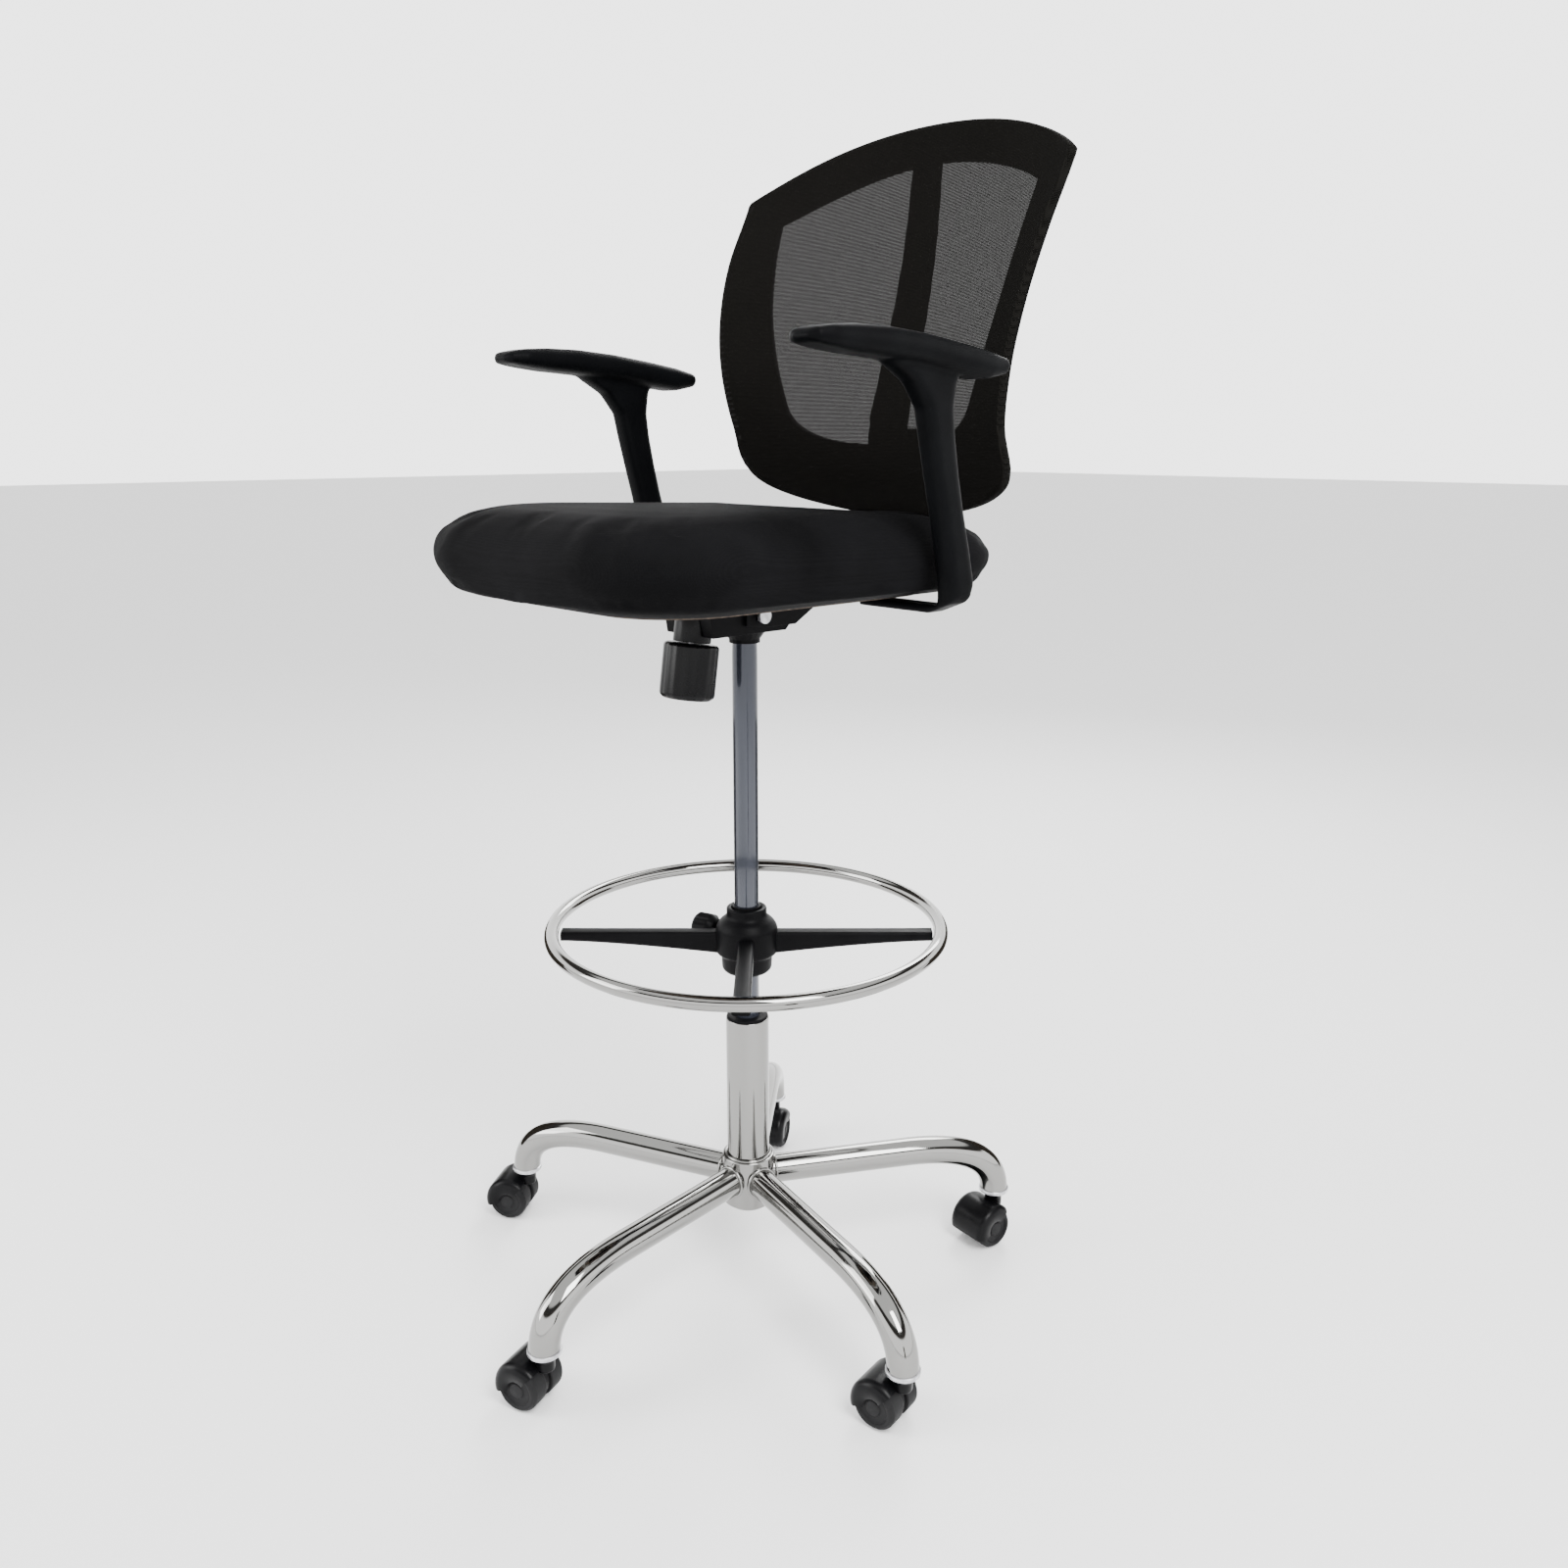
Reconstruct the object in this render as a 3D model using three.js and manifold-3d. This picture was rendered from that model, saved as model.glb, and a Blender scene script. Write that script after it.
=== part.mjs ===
// Drafting chair with arms, a foot ring and a five-leg base on twin-wheel casters.
// Millimetres, +Z up. The sitter faces -Y, so +X is the sitter's left hand side.
// Everything is built around the gas lift's axis with the floor at z = 0, and the whole
// group is then moved so that its origin is the middle of its box, on the floor.

import * as THREE from "three";
import { mergeVertices } from "three/addons/utils/BufferGeometryUtils.js";
import Module from "manifold-3d";

const wasm = await Module();
wasm.setup();

// ---------- driving dimensions ----------

const GAP = 0.3; // left between pieces that touch
const RAD = Math.PI / 180;

// Base: five bent tubes welded to a short hub.
const LEG_COUNT = 5;
const FIRST_LEG_ANGLE = -11.8; // degrees from +X
const LEG_DIAMETER = 34;
const LEG_HEIGHT = 131; // centreline where it leaves the hub
const LEG_BEND_START = 200;
const LEG_REACH = 318; // radius of the caster sockets
const LEG_END = 66;
const HUB_RADIUS = 31;
const HUB_BOTTOM = 97;
const HUB_TOP = 158;

// Casters: a moulded hood over two wheels, on a steel stem.
const CASTER_ANGLES = [-170, -95, -60, -145, -160]; // where each caster trails, from +X
const CASTER_TRAIL = 20;
const WHEEL_RADIUS = 25;
const WHEEL_WIDTH = 22;
const WEB_WIDTH = 7;
const HOOD_RADIUS = 30;
const HOOD_WIDTH = 56;
const STEM_RADIUS = 5.5;
const CASTER_TOP = 60;
const STEM_BOTTOM = 45.5;

// Gas lift: rod fixed in the outer column, lift tube sliding in a bush at its top.
const COLUMN_RADIUS = 25;
const COLUMN_BOTTOM = 92;
const COLUMN_TOP = 334;
const TUBE_RADIUS = 14;
const TUBE_BOTTOM = 266;
const TUBE_TOP = 796;
const ROD_RADIUS = 5;
const PIN_TOP = 803.9;

// Foot ring: chrome hoop on a four-spoke hub that grips the lift tube.
const RING_RADIUS = 221.6;
const RING_TUBE_RADIUS = 8;
const RING_HEIGHT = 447;
const SPOKE_COUNT = 4;
const FIRST_SPOKE_ANGLE = 47;
const RING_HUB_RADIUS = 35.5;
const RING_HUB_BOTTOM = 392;
const RING_HUB_TOP = 470;
const CLAMP_ANGLE = 196;

// Tilt mechanism.
const TILT_AXLE = { y: -14, z: 808, radius: 5 };
const HOUSING_WIDTH = 76;
const SHEET = 3; // pressed steel thickness
const LEVER = { x: -37, y: 8, z: 806, radius: 4, droop: 4 }; // its pivot in the wall
const KNOB_LEAN = 8.4 * RAD;
const KNOB_TOP = { y: -69, z: 813 }; // where the tension bolt leaves the housing

// Seat, back and arms.
const PLATE_TOP = 829;
const BOARD_THICKNESS = 12;
const BOARD_INSET = 68; // from the cushion's plan
const BOARD_CORNER_CUT = 34; // how much smaller its corner radii are than the cushion's
const BOARD_BOTTOM = PLATE_TOP + GAP;
const BOARD_TOP = BOARD_BOTTOM + BOARD_THICKNESS;
const SEAT_HALF_WIDTH = 221;
const SEAT_FRONT = -300;
const SEAT_REAR = 207;
const SEAT_FRONT_CORNER = 115;
const SEAT_REAR_CORNER = 88;
const SEAT_DROP = 20; // how far the top falls towards its rear edge
const SEAT_BOTTOM = 831; // lowest edge of the foam, around the board
const BACK_THICKNESS = 14;
const MESH_THICKNESS = 2;
const BACK_DEPTHS = [80, 380]; // the whole back lies between these Y
// Height, half width of the outline, and the depth of its edge and of its middle.
const BACK_STATIONS = [
  { z: 892, half: 120, edge: 205, middle: 250 },
  { z: 946, half: 196, edge: 179, middle: 225 },
  { z: 1000, half: 204, edge: 152, middle: 224 },
  { z: 1060, half: 215, edge: 145, middle: 238 },
  { z: 1120, half: 225, edge: 157, middle: 255 },
  { z: 1190, half: 233, edge: 186, middle: 270 },
  { z: 1265, half: 236, edge: 227, middle: 279 },
  { z: 1330, half: 240, edge: 252, middle: 284 },
];
const BACK_BOTTOM = 903;
const BACK_TOP = 1326;
const BACK_CORNER_Z = 1266;
const SPINE_HALF_WIDTH = { bottom: 25, top: 17 };
const ARM_CENTRE = 236;
const ARM_POST_WIDTH = 24;
const ARM_PAD_WIDTH = 48;
const ARM_FOOT_REACH = 118; // from the post inwards, under the board

// ---------- materials ----------

const paint = (color, roughness, metalness) =>
  new THREE.MeshStandardMaterial({ color, roughness, metalness });
const CHROME = paint(0xd8d9dc, 0.08, 1);
const STEEL = paint(0x9a9ca0, 0.35, 1);
const BLACK_TUBE = paint(0x3c4256, 0.25, 0.6);
const BLACK_STEEL = paint(0x17181a, 0.45, 0.3);
const BLACK_PLASTIC = paint(0x16171a, 0.5, 0);
const ARM_PLASTIC = paint(0x1d2026, 0.5, 0);
const NYLON = paint(0x1b1b1d, 0.5, 0);
const FABRIC = paint(0x0c0c0d, 0.95, 0);
const MESH_CLOTH = paint(0x2b2824, 0.9, 0);
const BOARD = paint(0x3a2f26, 0.8, 0);

// ---------- building blocks ----------

const chair = new THREE.Group();

// A closed geometry as a solid, with its faces turned outwards.
function solidOf(geometry) {
  const bare = geometry.index ? geometry.toNonIndexed() : geometry.clone();
  bare.deleteAttribute("normal");
  bare.deleteAttribute("uv");
  const merged = mergeVertices(bare, 1e-3);
  const vertProperties = merged.attributes.position.array;
  const make = (triVerts) =>
    new wasm.Manifold(new wasm.Mesh({ numProp: 3, vertProperties, triVerts }));
  const triVerts = new Uint32Array(merged.index.array);
  const solid = make(triVerts);
  return solid.volume() > 0 ? solid : make(triVerts.reverse());
}

// Adds a solid to the chair as a named mesh.
function addPiece(name, solid, material) {
  const { numProp, vertProperties, triVerts } = solid.getMesh();
  const corners = new Float32Array((vertProperties.length / numProp) * 3);
  for (let i = 0; i < corners.length / 3; i++) {
    corners.set(vertProperties.subarray(i * numProp, i * numProp + 3), i * 3);
  }
  const geometry = new THREE.BufferGeometry();
  geometry.setAttribute("position", new THREE.BufferAttribute(corners, 3));
  geometry.setIndex(new THREE.BufferAttribute(triVerts, 1));
  geometry.computeVertexNormals();
  const mesh = new THREE.Mesh(geometry, material);
  mesh.name = name;
  chair.add(mesh);
}

const joined = (...solids) => solids.reduce((a, b) => a.add(b));
const cut = (body, ...tools) => tools.reduce((a, b) => a.subtract(b), body);
const moved = (solid, x, y, z) => solid.translate([x, y, z]);

// A body of revolution about Z, from [radius, z] pairs that start and end on the axis
// or close on themselves.
function turned(profile, sides = 24) {
  const points = profile.map(([r, z]) => new THREE.Vector2(r, z));
  return solidOf(new THREE.LatheGeometry(points, sides).rotateX(Math.PI / 2));
}

const disc = (radius, z0, z1, sides = 24) =>
  turned([[0, z0], [radius, z0], [radius, z1], [0, z1]], sides);

// The cutter for a hole that a round bar of the given radius fits, whatever its facets.
const drill = (radius, z0, z1, sides = 12) =>
  disc((radius + GAP) / Math.cos(Math.PI / sides), z0, z1, sides);

const sleeve = (inner, outer, z0, z1, sides = 24) =>
  turned([[inner, z0], [outer, z0], [outer, z1], [inner, z1], [inner, z0]], sides);

function block([x0, y0, z0], [x1, y1, z1]) {
  const box = new THREE.BoxGeometry(x1 - x0, y1 - y0, z1 - z0);
  box.translate((x0 + x1) / 2, (y0 + y1) / 2, (z0 + z1) / 2);
  return solidOf(box);
}

// A cylinder about the X axis, from x0 to x1.
const barX = (radius, x0, x1, y, z, sides = 16) =>
  moved(disc(radius, x0, x1, sides).rotate([0, 90, 0]), 0, y, z);

// An outline in the Y-Z plane, extruded from x0 to x1.
function sideProfile(shape, x0, x1, curveSegments = 6) {
  const options = { depth: x1 - x0, bevelEnabled: false, curveSegments };
  const geometry = new THREE.ExtrudeGeometry(shape, options);
  geometry.applyMatrix4(
    new THREE.Matrix4().makeBasis(
      new THREE.Vector3(0, 1, 0),
      new THREE.Vector3(0, 0, 1),
      new THREE.Vector3(1, 0, 0),
    ),
  );
  geometry.translate(x0, 0, 0);
  return solidOf(geometry);
}

// An outline in the X-Z plane, extruded from y0 to y1.
function frontProfile(shape, y0, y1, curveSegments = 6) {
  const options = { depth: y1 - y0, bevelEnabled: false, curveSegments };
  const geometry = new THREE.ExtrudeGeometry(shape, options).rotateX(Math.PI / 2);
  return solidOf(geometry.translate(0, y1, 0));
}

// An outline in the X-Y plane, extruded from z0 to z1.
function planProfile(shape, z0, z1, curveSegments = 6) {
  const options = { depth: z1 - z0, bevelEnabled: false, curveSegments };
  const geometry = new THREE.ExtrudeGeometry(shape, options);
  return solidOf(geometry.translate(0, 0, z0));
}

const polygon = (points) =>
  new THREE.Shape(points.map(([u, v]) => new THREE.Vector2(u, v)));

const circleShape = (radius, sides) =>
  polygon(
    Array.from({ length: sides }, (_, i) => {
      const angle = (i / sides) * 2 * Math.PI;
      return [radius * Math.cos(angle), radius * Math.sin(angle)];
    }),
  );

function roundedRectangle(x0, y0, x1, y1, frontRadius, rearRadius = frontRadius) {
  const shape = new THREE.Shape();
  const f = frontRadius;
  const r = rearRadius;
  shape.moveTo(x0 + f, y0);
  shape.absarc(x1 - f, y0 + f, f, -Math.PI / 2, 0, false);
  shape.absarc(x1 - r, y1 - r, r, 0, Math.PI / 2, false);
  shape.absarc(x0 + r, y1 - r, r, Math.PI / 2, Math.PI, false);
  shape.absarc(x0 + f, y0 + f, f, Math.PI, Math.PI * 1.5, false);
  return shape;
}

// A round bar along a curve.
function bar(curve, radius, steps, sides) {
  const options = { steps, extrudePath: curve, bevelEnabled: false };
  return solidOf(new THREE.ExtrudeGeometry(circleShape(radius, sides), options));
}

// ---------- base ----------

const legAngle = (i) => FIRST_LEG_ANGLE + (i * 360) / LEG_COUNT;

function leg() {
  const sides = 14;
  const radius = LEG_DIAMETER / 2;
  const start = new THREE.Vector3(22, 0, LEG_HEIGHT);
  const bend = new THREE.Vector3(LEG_BEND_START, 0, LEG_HEIGHT);
  const corner = new THREE.Vector3(LEG_REACH, 0, LEG_HEIGHT);
  const end = new THREE.Vector3(LEG_REACH, 0, LEG_END);
  const straight = bar(new THREE.LineCurve3(start, bend), radius, 1, sides);
  const curve = new THREE.QuadraticBezierCurve3(bend, corner, end);
  const bent = bar(curve, radius, 8, sides);
  const lipTop = LEG_END + 1;
  const lipBottom = CASTER_TOP + 2.5;
  const lip = moved(disc(radius + 1.5, lipBottom, lipTop, sides), LEG_REACH, 0, 0);
  const socket = moved(drill(STEM_RADIUS, lipBottom - 1, 97, 8), LEG_REACH, 0, 0);
  const hub = disc(HUB_RADIUS + 2 * GAP, HUB_BOTTOM - 5, HUB_TOP + 5, 20);
  return cut(joined(straight, bent, lip), socket, hub);
}

function addBase() {
  const inner = COLUMN_RADIUS + GAP;
  const hub = turned(
    [
      [inner, HUB_BOTTOM],
      [HUB_RADIUS, HUB_BOTTOM],
      [HUB_RADIUS, HUB_TOP - 3],
      [HUB_RADIUS - 2, HUB_TOP],
      [inner, HUB_TOP],
      [inner, HUB_BOTTOM],
    ],
    24,
  );
  addPiece("base_hub", hub, CHROME);
  for (let i = 0; i < LEG_COUNT; i++) {
    addPiece("leg_" + (i + 1), leg().rotate([0, 0, legAngle(i)]), CHROME);
  }
}

// ---------- casters ----------

// The hood: an arch over the wheels, a web between them and a boss for the stem.
// Its own frame has the stem on the Z axis and trails towards +X.
function casterHood() {
  const inner = WHEEL_RADIUS + 2;
  const arch = new THREE.Shape();
  arch.absarc(0, 0, HOOD_RADIUS, -12 * RAD, 128 * RAD, false);
  arch.absarc(0, 0, inner, 128 * RAD, -12 * RAD, true);
  const flat = new THREE.Matrix4().makeRotationX(Math.PI / 2);
  const upright = (shape, width, segments) => {
    const options = { depth: width, bevelEnabled: false, curveSegments: segments };
    const geometry = new THREE.ExtrudeGeometry(shape, options).applyMatrix4(flat);
    return moved(solidOf(geometry), CASTER_TRAIL, width / 2, WHEEL_RADIUS);
  };
  const cover = upright(arch, HOOD_WIDTH, 4);
  const web = upright(circleShape(inner + 1, 16), WEB_WIDTH, 1);
  const keel = block([-7, -WEB_WIDTH / 2, 12], [CASTER_TRAIL, WEB_WIDTH / 2, 40]);
  const boss = disc(10, STEM_BOTTOM - 2, CASTER_TOP, 12);
  const wheels = barY(WHEEL_RADIUS + 1.3, WEB_WIDTH / 2, HOOD_WIDTH, 16);
  const otherWheels = barY(WHEEL_RADIUS + 1.3, -HOOD_WIDTH, -WEB_WIDTH / 2, 16);
  const floor = block([-60, -60, -5], [60, 60, 4]);
  const stemHole = drill(STEM_RADIUS, STEM_BOTTOM - 0.5, CASTER_TOP + 1, 8);
  const axleHole = barY(3 + GAP, -40, 40, 8);
  const body = joined(cover, web, keel, boss);
  return cut(body, wheels, otherWheels, floor, stemHole, axleHole);
}

// A cylinder about the caster's axle.
const barY = (radius, y0, y1, sides) =>
  moved(disc(radius, -y1, -y0, sides).rotate([90, 0, 0]), CASTER_TRAIL, 0, WHEEL_RADIUS);

// A wheel with a blind hole for the axle. It stands on one of its flats.
function casterWheel(side) {
  const inside = WEB_WIDTH / 2 + 0.6;
  const outside = inside + WHEEL_WIDTH;
  const hole = 3 + GAP;
  const sides = 18;
  const rim = WHEEL_RADIUS / Math.cos(Math.PI / sides);
  const profile = [
    [0, outside - 6],
    [hole, outside - 6],
    [hole, inside],
    [rim, inside],
    [rim, outside - 3],
    [rim - 4, outside],
    [0, outside],
  ];
  const halfStep = 180 / sides;
  const wheel = turned(profile, sides).rotate([0, 0, halfStep]).rotate([side * -90, 0, 0]);
  return moved(wheel, CASTER_TRAIL, 0, WHEEL_RADIUS);
}

function addCaster(i) {
  const angle = legAngle(i);
  const x = LEG_REACH * Math.cos(angle * RAD);
  const y = LEG_REACH * Math.sin(angle * RAD);
  const place = (solid) => moved(solid.rotate([0, 0, CASTER_ANGLES[i]]), x, y, 0);
  const prefix = "caster_" + (i + 1);
  const axleEnd = WEB_WIDTH / 2 + WHEEL_WIDTH - 7;
  addPiece(prefix + "_hood", place(casterHood()), BLACK_PLASTIC);
  addPiece(prefix + "_stem", place(disc(STEM_RADIUS, STEM_BOTTOM, 95, 8)), STEEL);
  addPiece(prefix + "_axle", place(barY(3, -axleEnd, axleEnd, 8)), STEEL);
  addPiece(prefix + "_wheel_l", place(casterWheel(1)), BLACK_PLASTIC);
  addPiece(prefix + "_wheel_r", place(casterWheel(-1)), BLACK_PLASTIC);
}

// ---------- gas lift ----------

function addGasLift() {
  const bore = COLUMN_RADIUS - 2;
  const floorTop = COLUMN_BOTTOM + 4;
  const columnProfile = [
    [ROD_RADIUS + GAP, COLUMN_BOTTOM],
    [COLUMN_RADIUS - 2, COLUMN_BOTTOM],
    [COLUMN_RADIUS, COLUMN_BOTTOM + 4],
    [COLUMN_RADIUS, COLUMN_TOP],
    [bore, COLUMN_TOP],
    [bore, floorTop],
    [ROD_RADIUS + GAP, floorTop],
    [ROD_RADIUS + GAP, COLUMN_BOTTOM],
  ];
  addPiece("outer_column", turned(columnProfile, 24), CHROME);

  const bushInner = TUBE_RADIUS + GAP;
  const bushProfile = [
    [bushInner, COLUMN_TOP - 96],
    [bore - GAP, COLUMN_TOP - 96],
    [bore - GAP, COLUMN_TOP + GAP],
    [bore + 1.5, COLUMN_TOP + GAP],
    [bore, COLUMN_TOP + 3],
    [bushInner, COLUMN_TOP + 3],
    [bushInner, COLUMN_TOP - 96],
  ];
  addPiece("guide_bush", turned(bushProfile, 20), BLACK_PLASTIC);

  const rodHole = ROD_RADIUS + GAP;
  addPiece("thrust_bearing", sleeve(rodHole, 12, floorTop + GAP, floorTop + 6, 12), STEEL);
  addPiece("retainer_clip", sleeve(rodHole, 11, COLUMN_BOTTOM - 3, COLUMN_BOTTOM - GAP, 12), STEEL);

  const pistonBottom = TUBE_BOTTOM + 14;
  const piston = disc(TUBE_RADIUS - 2.6, pistonBottom, pistonBottom + 14, 16);
  const rod = joined(disc(ROD_RADIUS, COLUMN_BOTTOM - 5, pistonBottom + 1, 12), piston);
  addPiece("piston_rod", rod, STEEL);

  const tubeProfile = [
    [ROD_RADIUS + GAP, TUBE_BOTTOM],
    [TUBE_RADIUS, TUBE_BOTTOM],
    [TUBE_RADIUS, 760],
    [TUBE_RADIUS - 1, TUBE_TOP],
    [4.5, TUBE_TOP],
    [4.5, 705],
    [TUBE_RADIUS - 2, 705],
    [TUBE_RADIUS - 2, TUBE_BOTTOM + 10],
    [ROD_RADIUS + GAP, TUBE_BOTTOM + 10],
    [ROD_RADIUS + GAP, TUBE_BOTTOM],
  ];
  addPiece("lift_tube", turned(tubeProfile, 20), BLACK_TUBE);
  addPiece("release_pin", disc(4, 740, PIN_TOP, 12), STEEL);
}

// ---------- foot ring ----------

function spoke() {
  const length = RING_RADIUS - RING_TUBE_RADIUS - GAP;
  const top = RING_HEIGHT - 6;
  const width = 18;
  const shape = new THREE.Shape();
  shape.moveTo(20, top);
  shape.lineTo(length, top);
  shape.lineTo(length, top - 10);
  shape.quadraticCurveTo(length * 0.62, top - 22, length * 0.42, top - 26);
  shape.lineTo(20, top - 27);
  return sideProfile(shape, -width / 2, width / 2, 5).rotate([0, 0, -90]);
}

function ringHub() {
  const bore = TUBE_RADIUS + 3;
  const R = RING_HUB_RADIUS;
  const body = turned(
    [
      [bore, RING_HUB_BOTTOM],
      [R - 12, RING_HUB_BOTTOM],
      [R - 7, RING_HUB_BOTTOM + 5],
      [R - 6, RING_HUB_BOTTOM + 22],
      [R, RING_HUB_BOTTOM + 24],
      [R, RING_HEIGHT],
      [R - 4, RING_HEIGHT + 6],
      [R - 13, RING_HEIGHT + 14],
      [R - 13, RING_HUB_TOP],
      [bore, RING_HUB_TOP],
      [bore, RING_HUB_BOTTOM],
    ],
    20,
  );
  const spokes = [];
  for (let i = 0; i < SPOKE_COUNT; i++) {
    const angle = FIRST_SPOKE_ANGLE + (i * 360) / SPOKE_COUNT;
    spokes.push(spoke().rotate([0, 0, angle]));
  }
  const hole = disc(bore, RING_HUB_BOTTOM - 2, RING_HUB_TOP + 2, 20);
  const hoop = ringHoop(RING_TUBE_RADIUS + GAP);
  const screwHole = clampAxis(drill(5, 0, 60, 8));
  return cut(joined(body, ...spokes), hole, hoop, screwHole);
}

function ringHoop(tubeRadius) {
  const profile = [];
  const steps = 8;
  for (let i = 0; i <= steps; i++) {
    const angle = (i / steps) * 2 * Math.PI;
    const r = RING_RADIUS + tubeRadius * Math.cos(angle);
    profile.push([r, RING_HEIGHT + tubeRadius * Math.sin(angle)]);
  }
  profile[steps] = profile[0];
  return turned(profile, 40);
}

// Turns a solid about Z onto the clamp knob's axis, which points outwards from the hub.
function clampAxis(solid) {
  return moved(solid.rotate([0, 90, 0]).rotate([0, 0, CLAMP_ANGLE]), 0, 0, 434);
}

function addFootRing() {
  addPiece("foot_ring_tube", ringHoop(RING_TUBE_RADIUS), CHROME);
  addPiece("ring_hub", ringHub(), BLACK_PLASTIC);
  const inner = TUBE_RADIUS + GAP;
  const outer = TUBE_RADIUS + 3 - GAP;
  const collet = sleeve(inner, outer, RING_HUB_BOTTOM - 3, RING_HUB_TOP + 2, 20);
  addPiece("clamp_collet", collet, NYLON);
  const profile = [
    [0, 19],
    [5, 19],
    [5, RING_HUB_RADIUS + 4],
    [11, RING_HUB_RADIUS + 6],
    [17, RING_HUB_RADIUS + 13],
    [17, RING_HUB_RADIUS + 29],
    [14, RING_HUB_RADIUS + 33],
    [0, RING_HUB_RADIUS + 33],
  ];
  const knob = turned(profile, 16);
  addPiece("clamp_knob", clampAxis(knob), BLACK_PLASTIC);
}

// ---------- tilt mechanism ----------

function mechHousing() {
  const half = HOUSING_WIDTH / 2;
  const outline = [
    [-114, 821],
    [-104, 813],
    [-80, 813],
    [-76, 789],
    [26, 789],
    [34, 797],
    [34, 811],
    [-14, 820],
  ];
  const hollow = [
    [-108, 830],
    [-103, 816],
    [-78, 816],
    [-73, 792],
    [24, 792],
    [31, 798],
    [31, 830],
  ];
  const tray = cut(
    sideProfile(polygon(outline), -half, half),
    sideProfile(polygon(hollow), SHEET - half, half - SHEET),
  );
  const coneProfile = [
    [0, 774],
    [17, 774],
    [17, 778],
    [25, 789.5],
    [22, 796],
    [0, 796],
  ];
  const cone = turned(coneProfile, 20);
  const bore = disc(TUBE_RADIUS + GAP, 770, 800, 20);
  const axleHole = barX(TILT_AXLE.radius + GAP, -60, 60, TILT_AXLE.y, TILT_AXLE.z);
  const slot = block([-half - 5, LEVER.y - 5, LEVER.z - 5.5], [-half + 8, LEVER.y + 5, LEVER.z + 9]);
  const boltHole = knobAxis(drill(4, -10, 60));
  const cupHole = knobAxis(disc(22, -40, -5, 16));
  return cut(tray.add(cone), bore, axleHole, slot, boltHole, cupHole);
}

// Puts a solid about Z on the tension bolt's axis: z = 0 is just under the housing.
function knobAxis(solid) {
  const lean = -KNOB_LEAN / RAD;
  return moved(solid.rotate([lean, 0, 0]), 0, KNOB_TOP.y, KNOB_TOP.z);
}

function tensionSpring() {
  const turns = 4;
  const coil = 13;
  class Helix extends THREE.Curve {
    getPoint(t, target = new THREE.Vector3()) {
      const angle = t * turns * 2 * Math.PI;
      return target.set(coil * Math.cos(angle), coil * Math.sin(angle), -30 + 20 * t);
    }
  }
  return bar(new Helix(), 2, 36, 5);
}

function addMechanism() {
  addPiece("mech_housing", mechHousing(), BLACK_STEEL);
  const axle = joined(
    barX(TILT_AXLE.radius, -48, 48, TILT_AXLE.y, TILT_AXLE.z),
    barX(TILT_AXLE.radius + 3, 45.5, 50, TILT_AXLE.y, TILT_AXLE.z),
    barX(TILT_AXLE.radius + 3, -50, -45.5, TILT_AXLE.y, TILT_AXLE.z),
  );
  addPiece("tilt_axle", axle, STEEL);

  const cupProfile = [
    [16.5, -32],
    [20, -32],
    [20, -7],
    [18, -5],
    [8, -5],
    [8, -7],
    [16.5, -7],
    [16.5, -32],
  ];
  addPiece("spring_cup", knobAxis(turned(cupProfile, 20)), BLACK_PLASTIC);
  addPiece("tension_spring", knobAxis(tensionSpring()), STEEL);
  const bolt = joined(disc(4, -56, 11, 12), disc(7, 6.4, 11, 6));
  addPiece("tension_bolt", knobAxis(bolt), STEEL);
  const knob = turned(
    [
      [4 + GAP, -33],
      [28, -33],
      [29.5, -36],
      [29.5, -88],
      [26, -92],
      [0, -92],
      [0, -58],
      [4 + GAP, -58],
      [4 + GAP, -33],
    ],
    20,
  );
  addPiece("tension_knob", knobAxis(knob), BLACK_PLASTIC);
}

// ---------- height lever ----------

// Puts a solid drawn about the lever's pivot, along X, into its drooping rest pose.
const leverPose = (solid) =>
  moved(solid.rotate([0, -LEVER.droop, 0]), LEVER.x, LEVER.y, LEVER.z);

function addLever() {
  const reach = 185;
  const inner = 42;
  const rod = barX(LEVER.radius, -reach, inner, 0, 0, 12);
  addPiece("lever_rod", leverPose(rod), BLACK_STEEL);
  const paddle = planProfile(roundedRectangle(-225, -20, -153, 20, 14), -7, 7, 3);
  const hole = barX(LEVER.radius + GAP, -reach - 1, -140, 0, 0, 12);
  addPiece("lever_grip", leverPose(cut(paddle, hole)), BLACK_PLASTIC);
}

// ---------- seat ----------

function seatPlate() {
  const bottom = PLATE_TOP - 4;
  const plate = block([-78, -112, bottom], [78, 106, PLATE_TOP]);
  const cheekShape = polygon([
    [-34, bottom + 1],
    [-34, 798],
    [-8, 795],
    [36, 795],
    [64, 811],
    [104, 814],
    [104, bottom + 1],
  ]);
  const inside = HOUSING_WIDTH / 2 + 2;
  const axleHole = barX(TILT_AXLE.radius + GAP, -60, 60, TILT_AXLE.y, TILT_AXLE.z);
  const leverWindow = block([-60, LEVER.y - 8, LEVER.z - 8], [-30, LEVER.y + 9, LEVER.z + 14]);
  const left = sideProfile(cheekShape, inside, inside + SHEET);
  const right = sideProfile(cheekShape, -inside - SHEET, -inside);
  return cut(joined(plate, left, right), axleHole, leverWindow);
}

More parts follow.
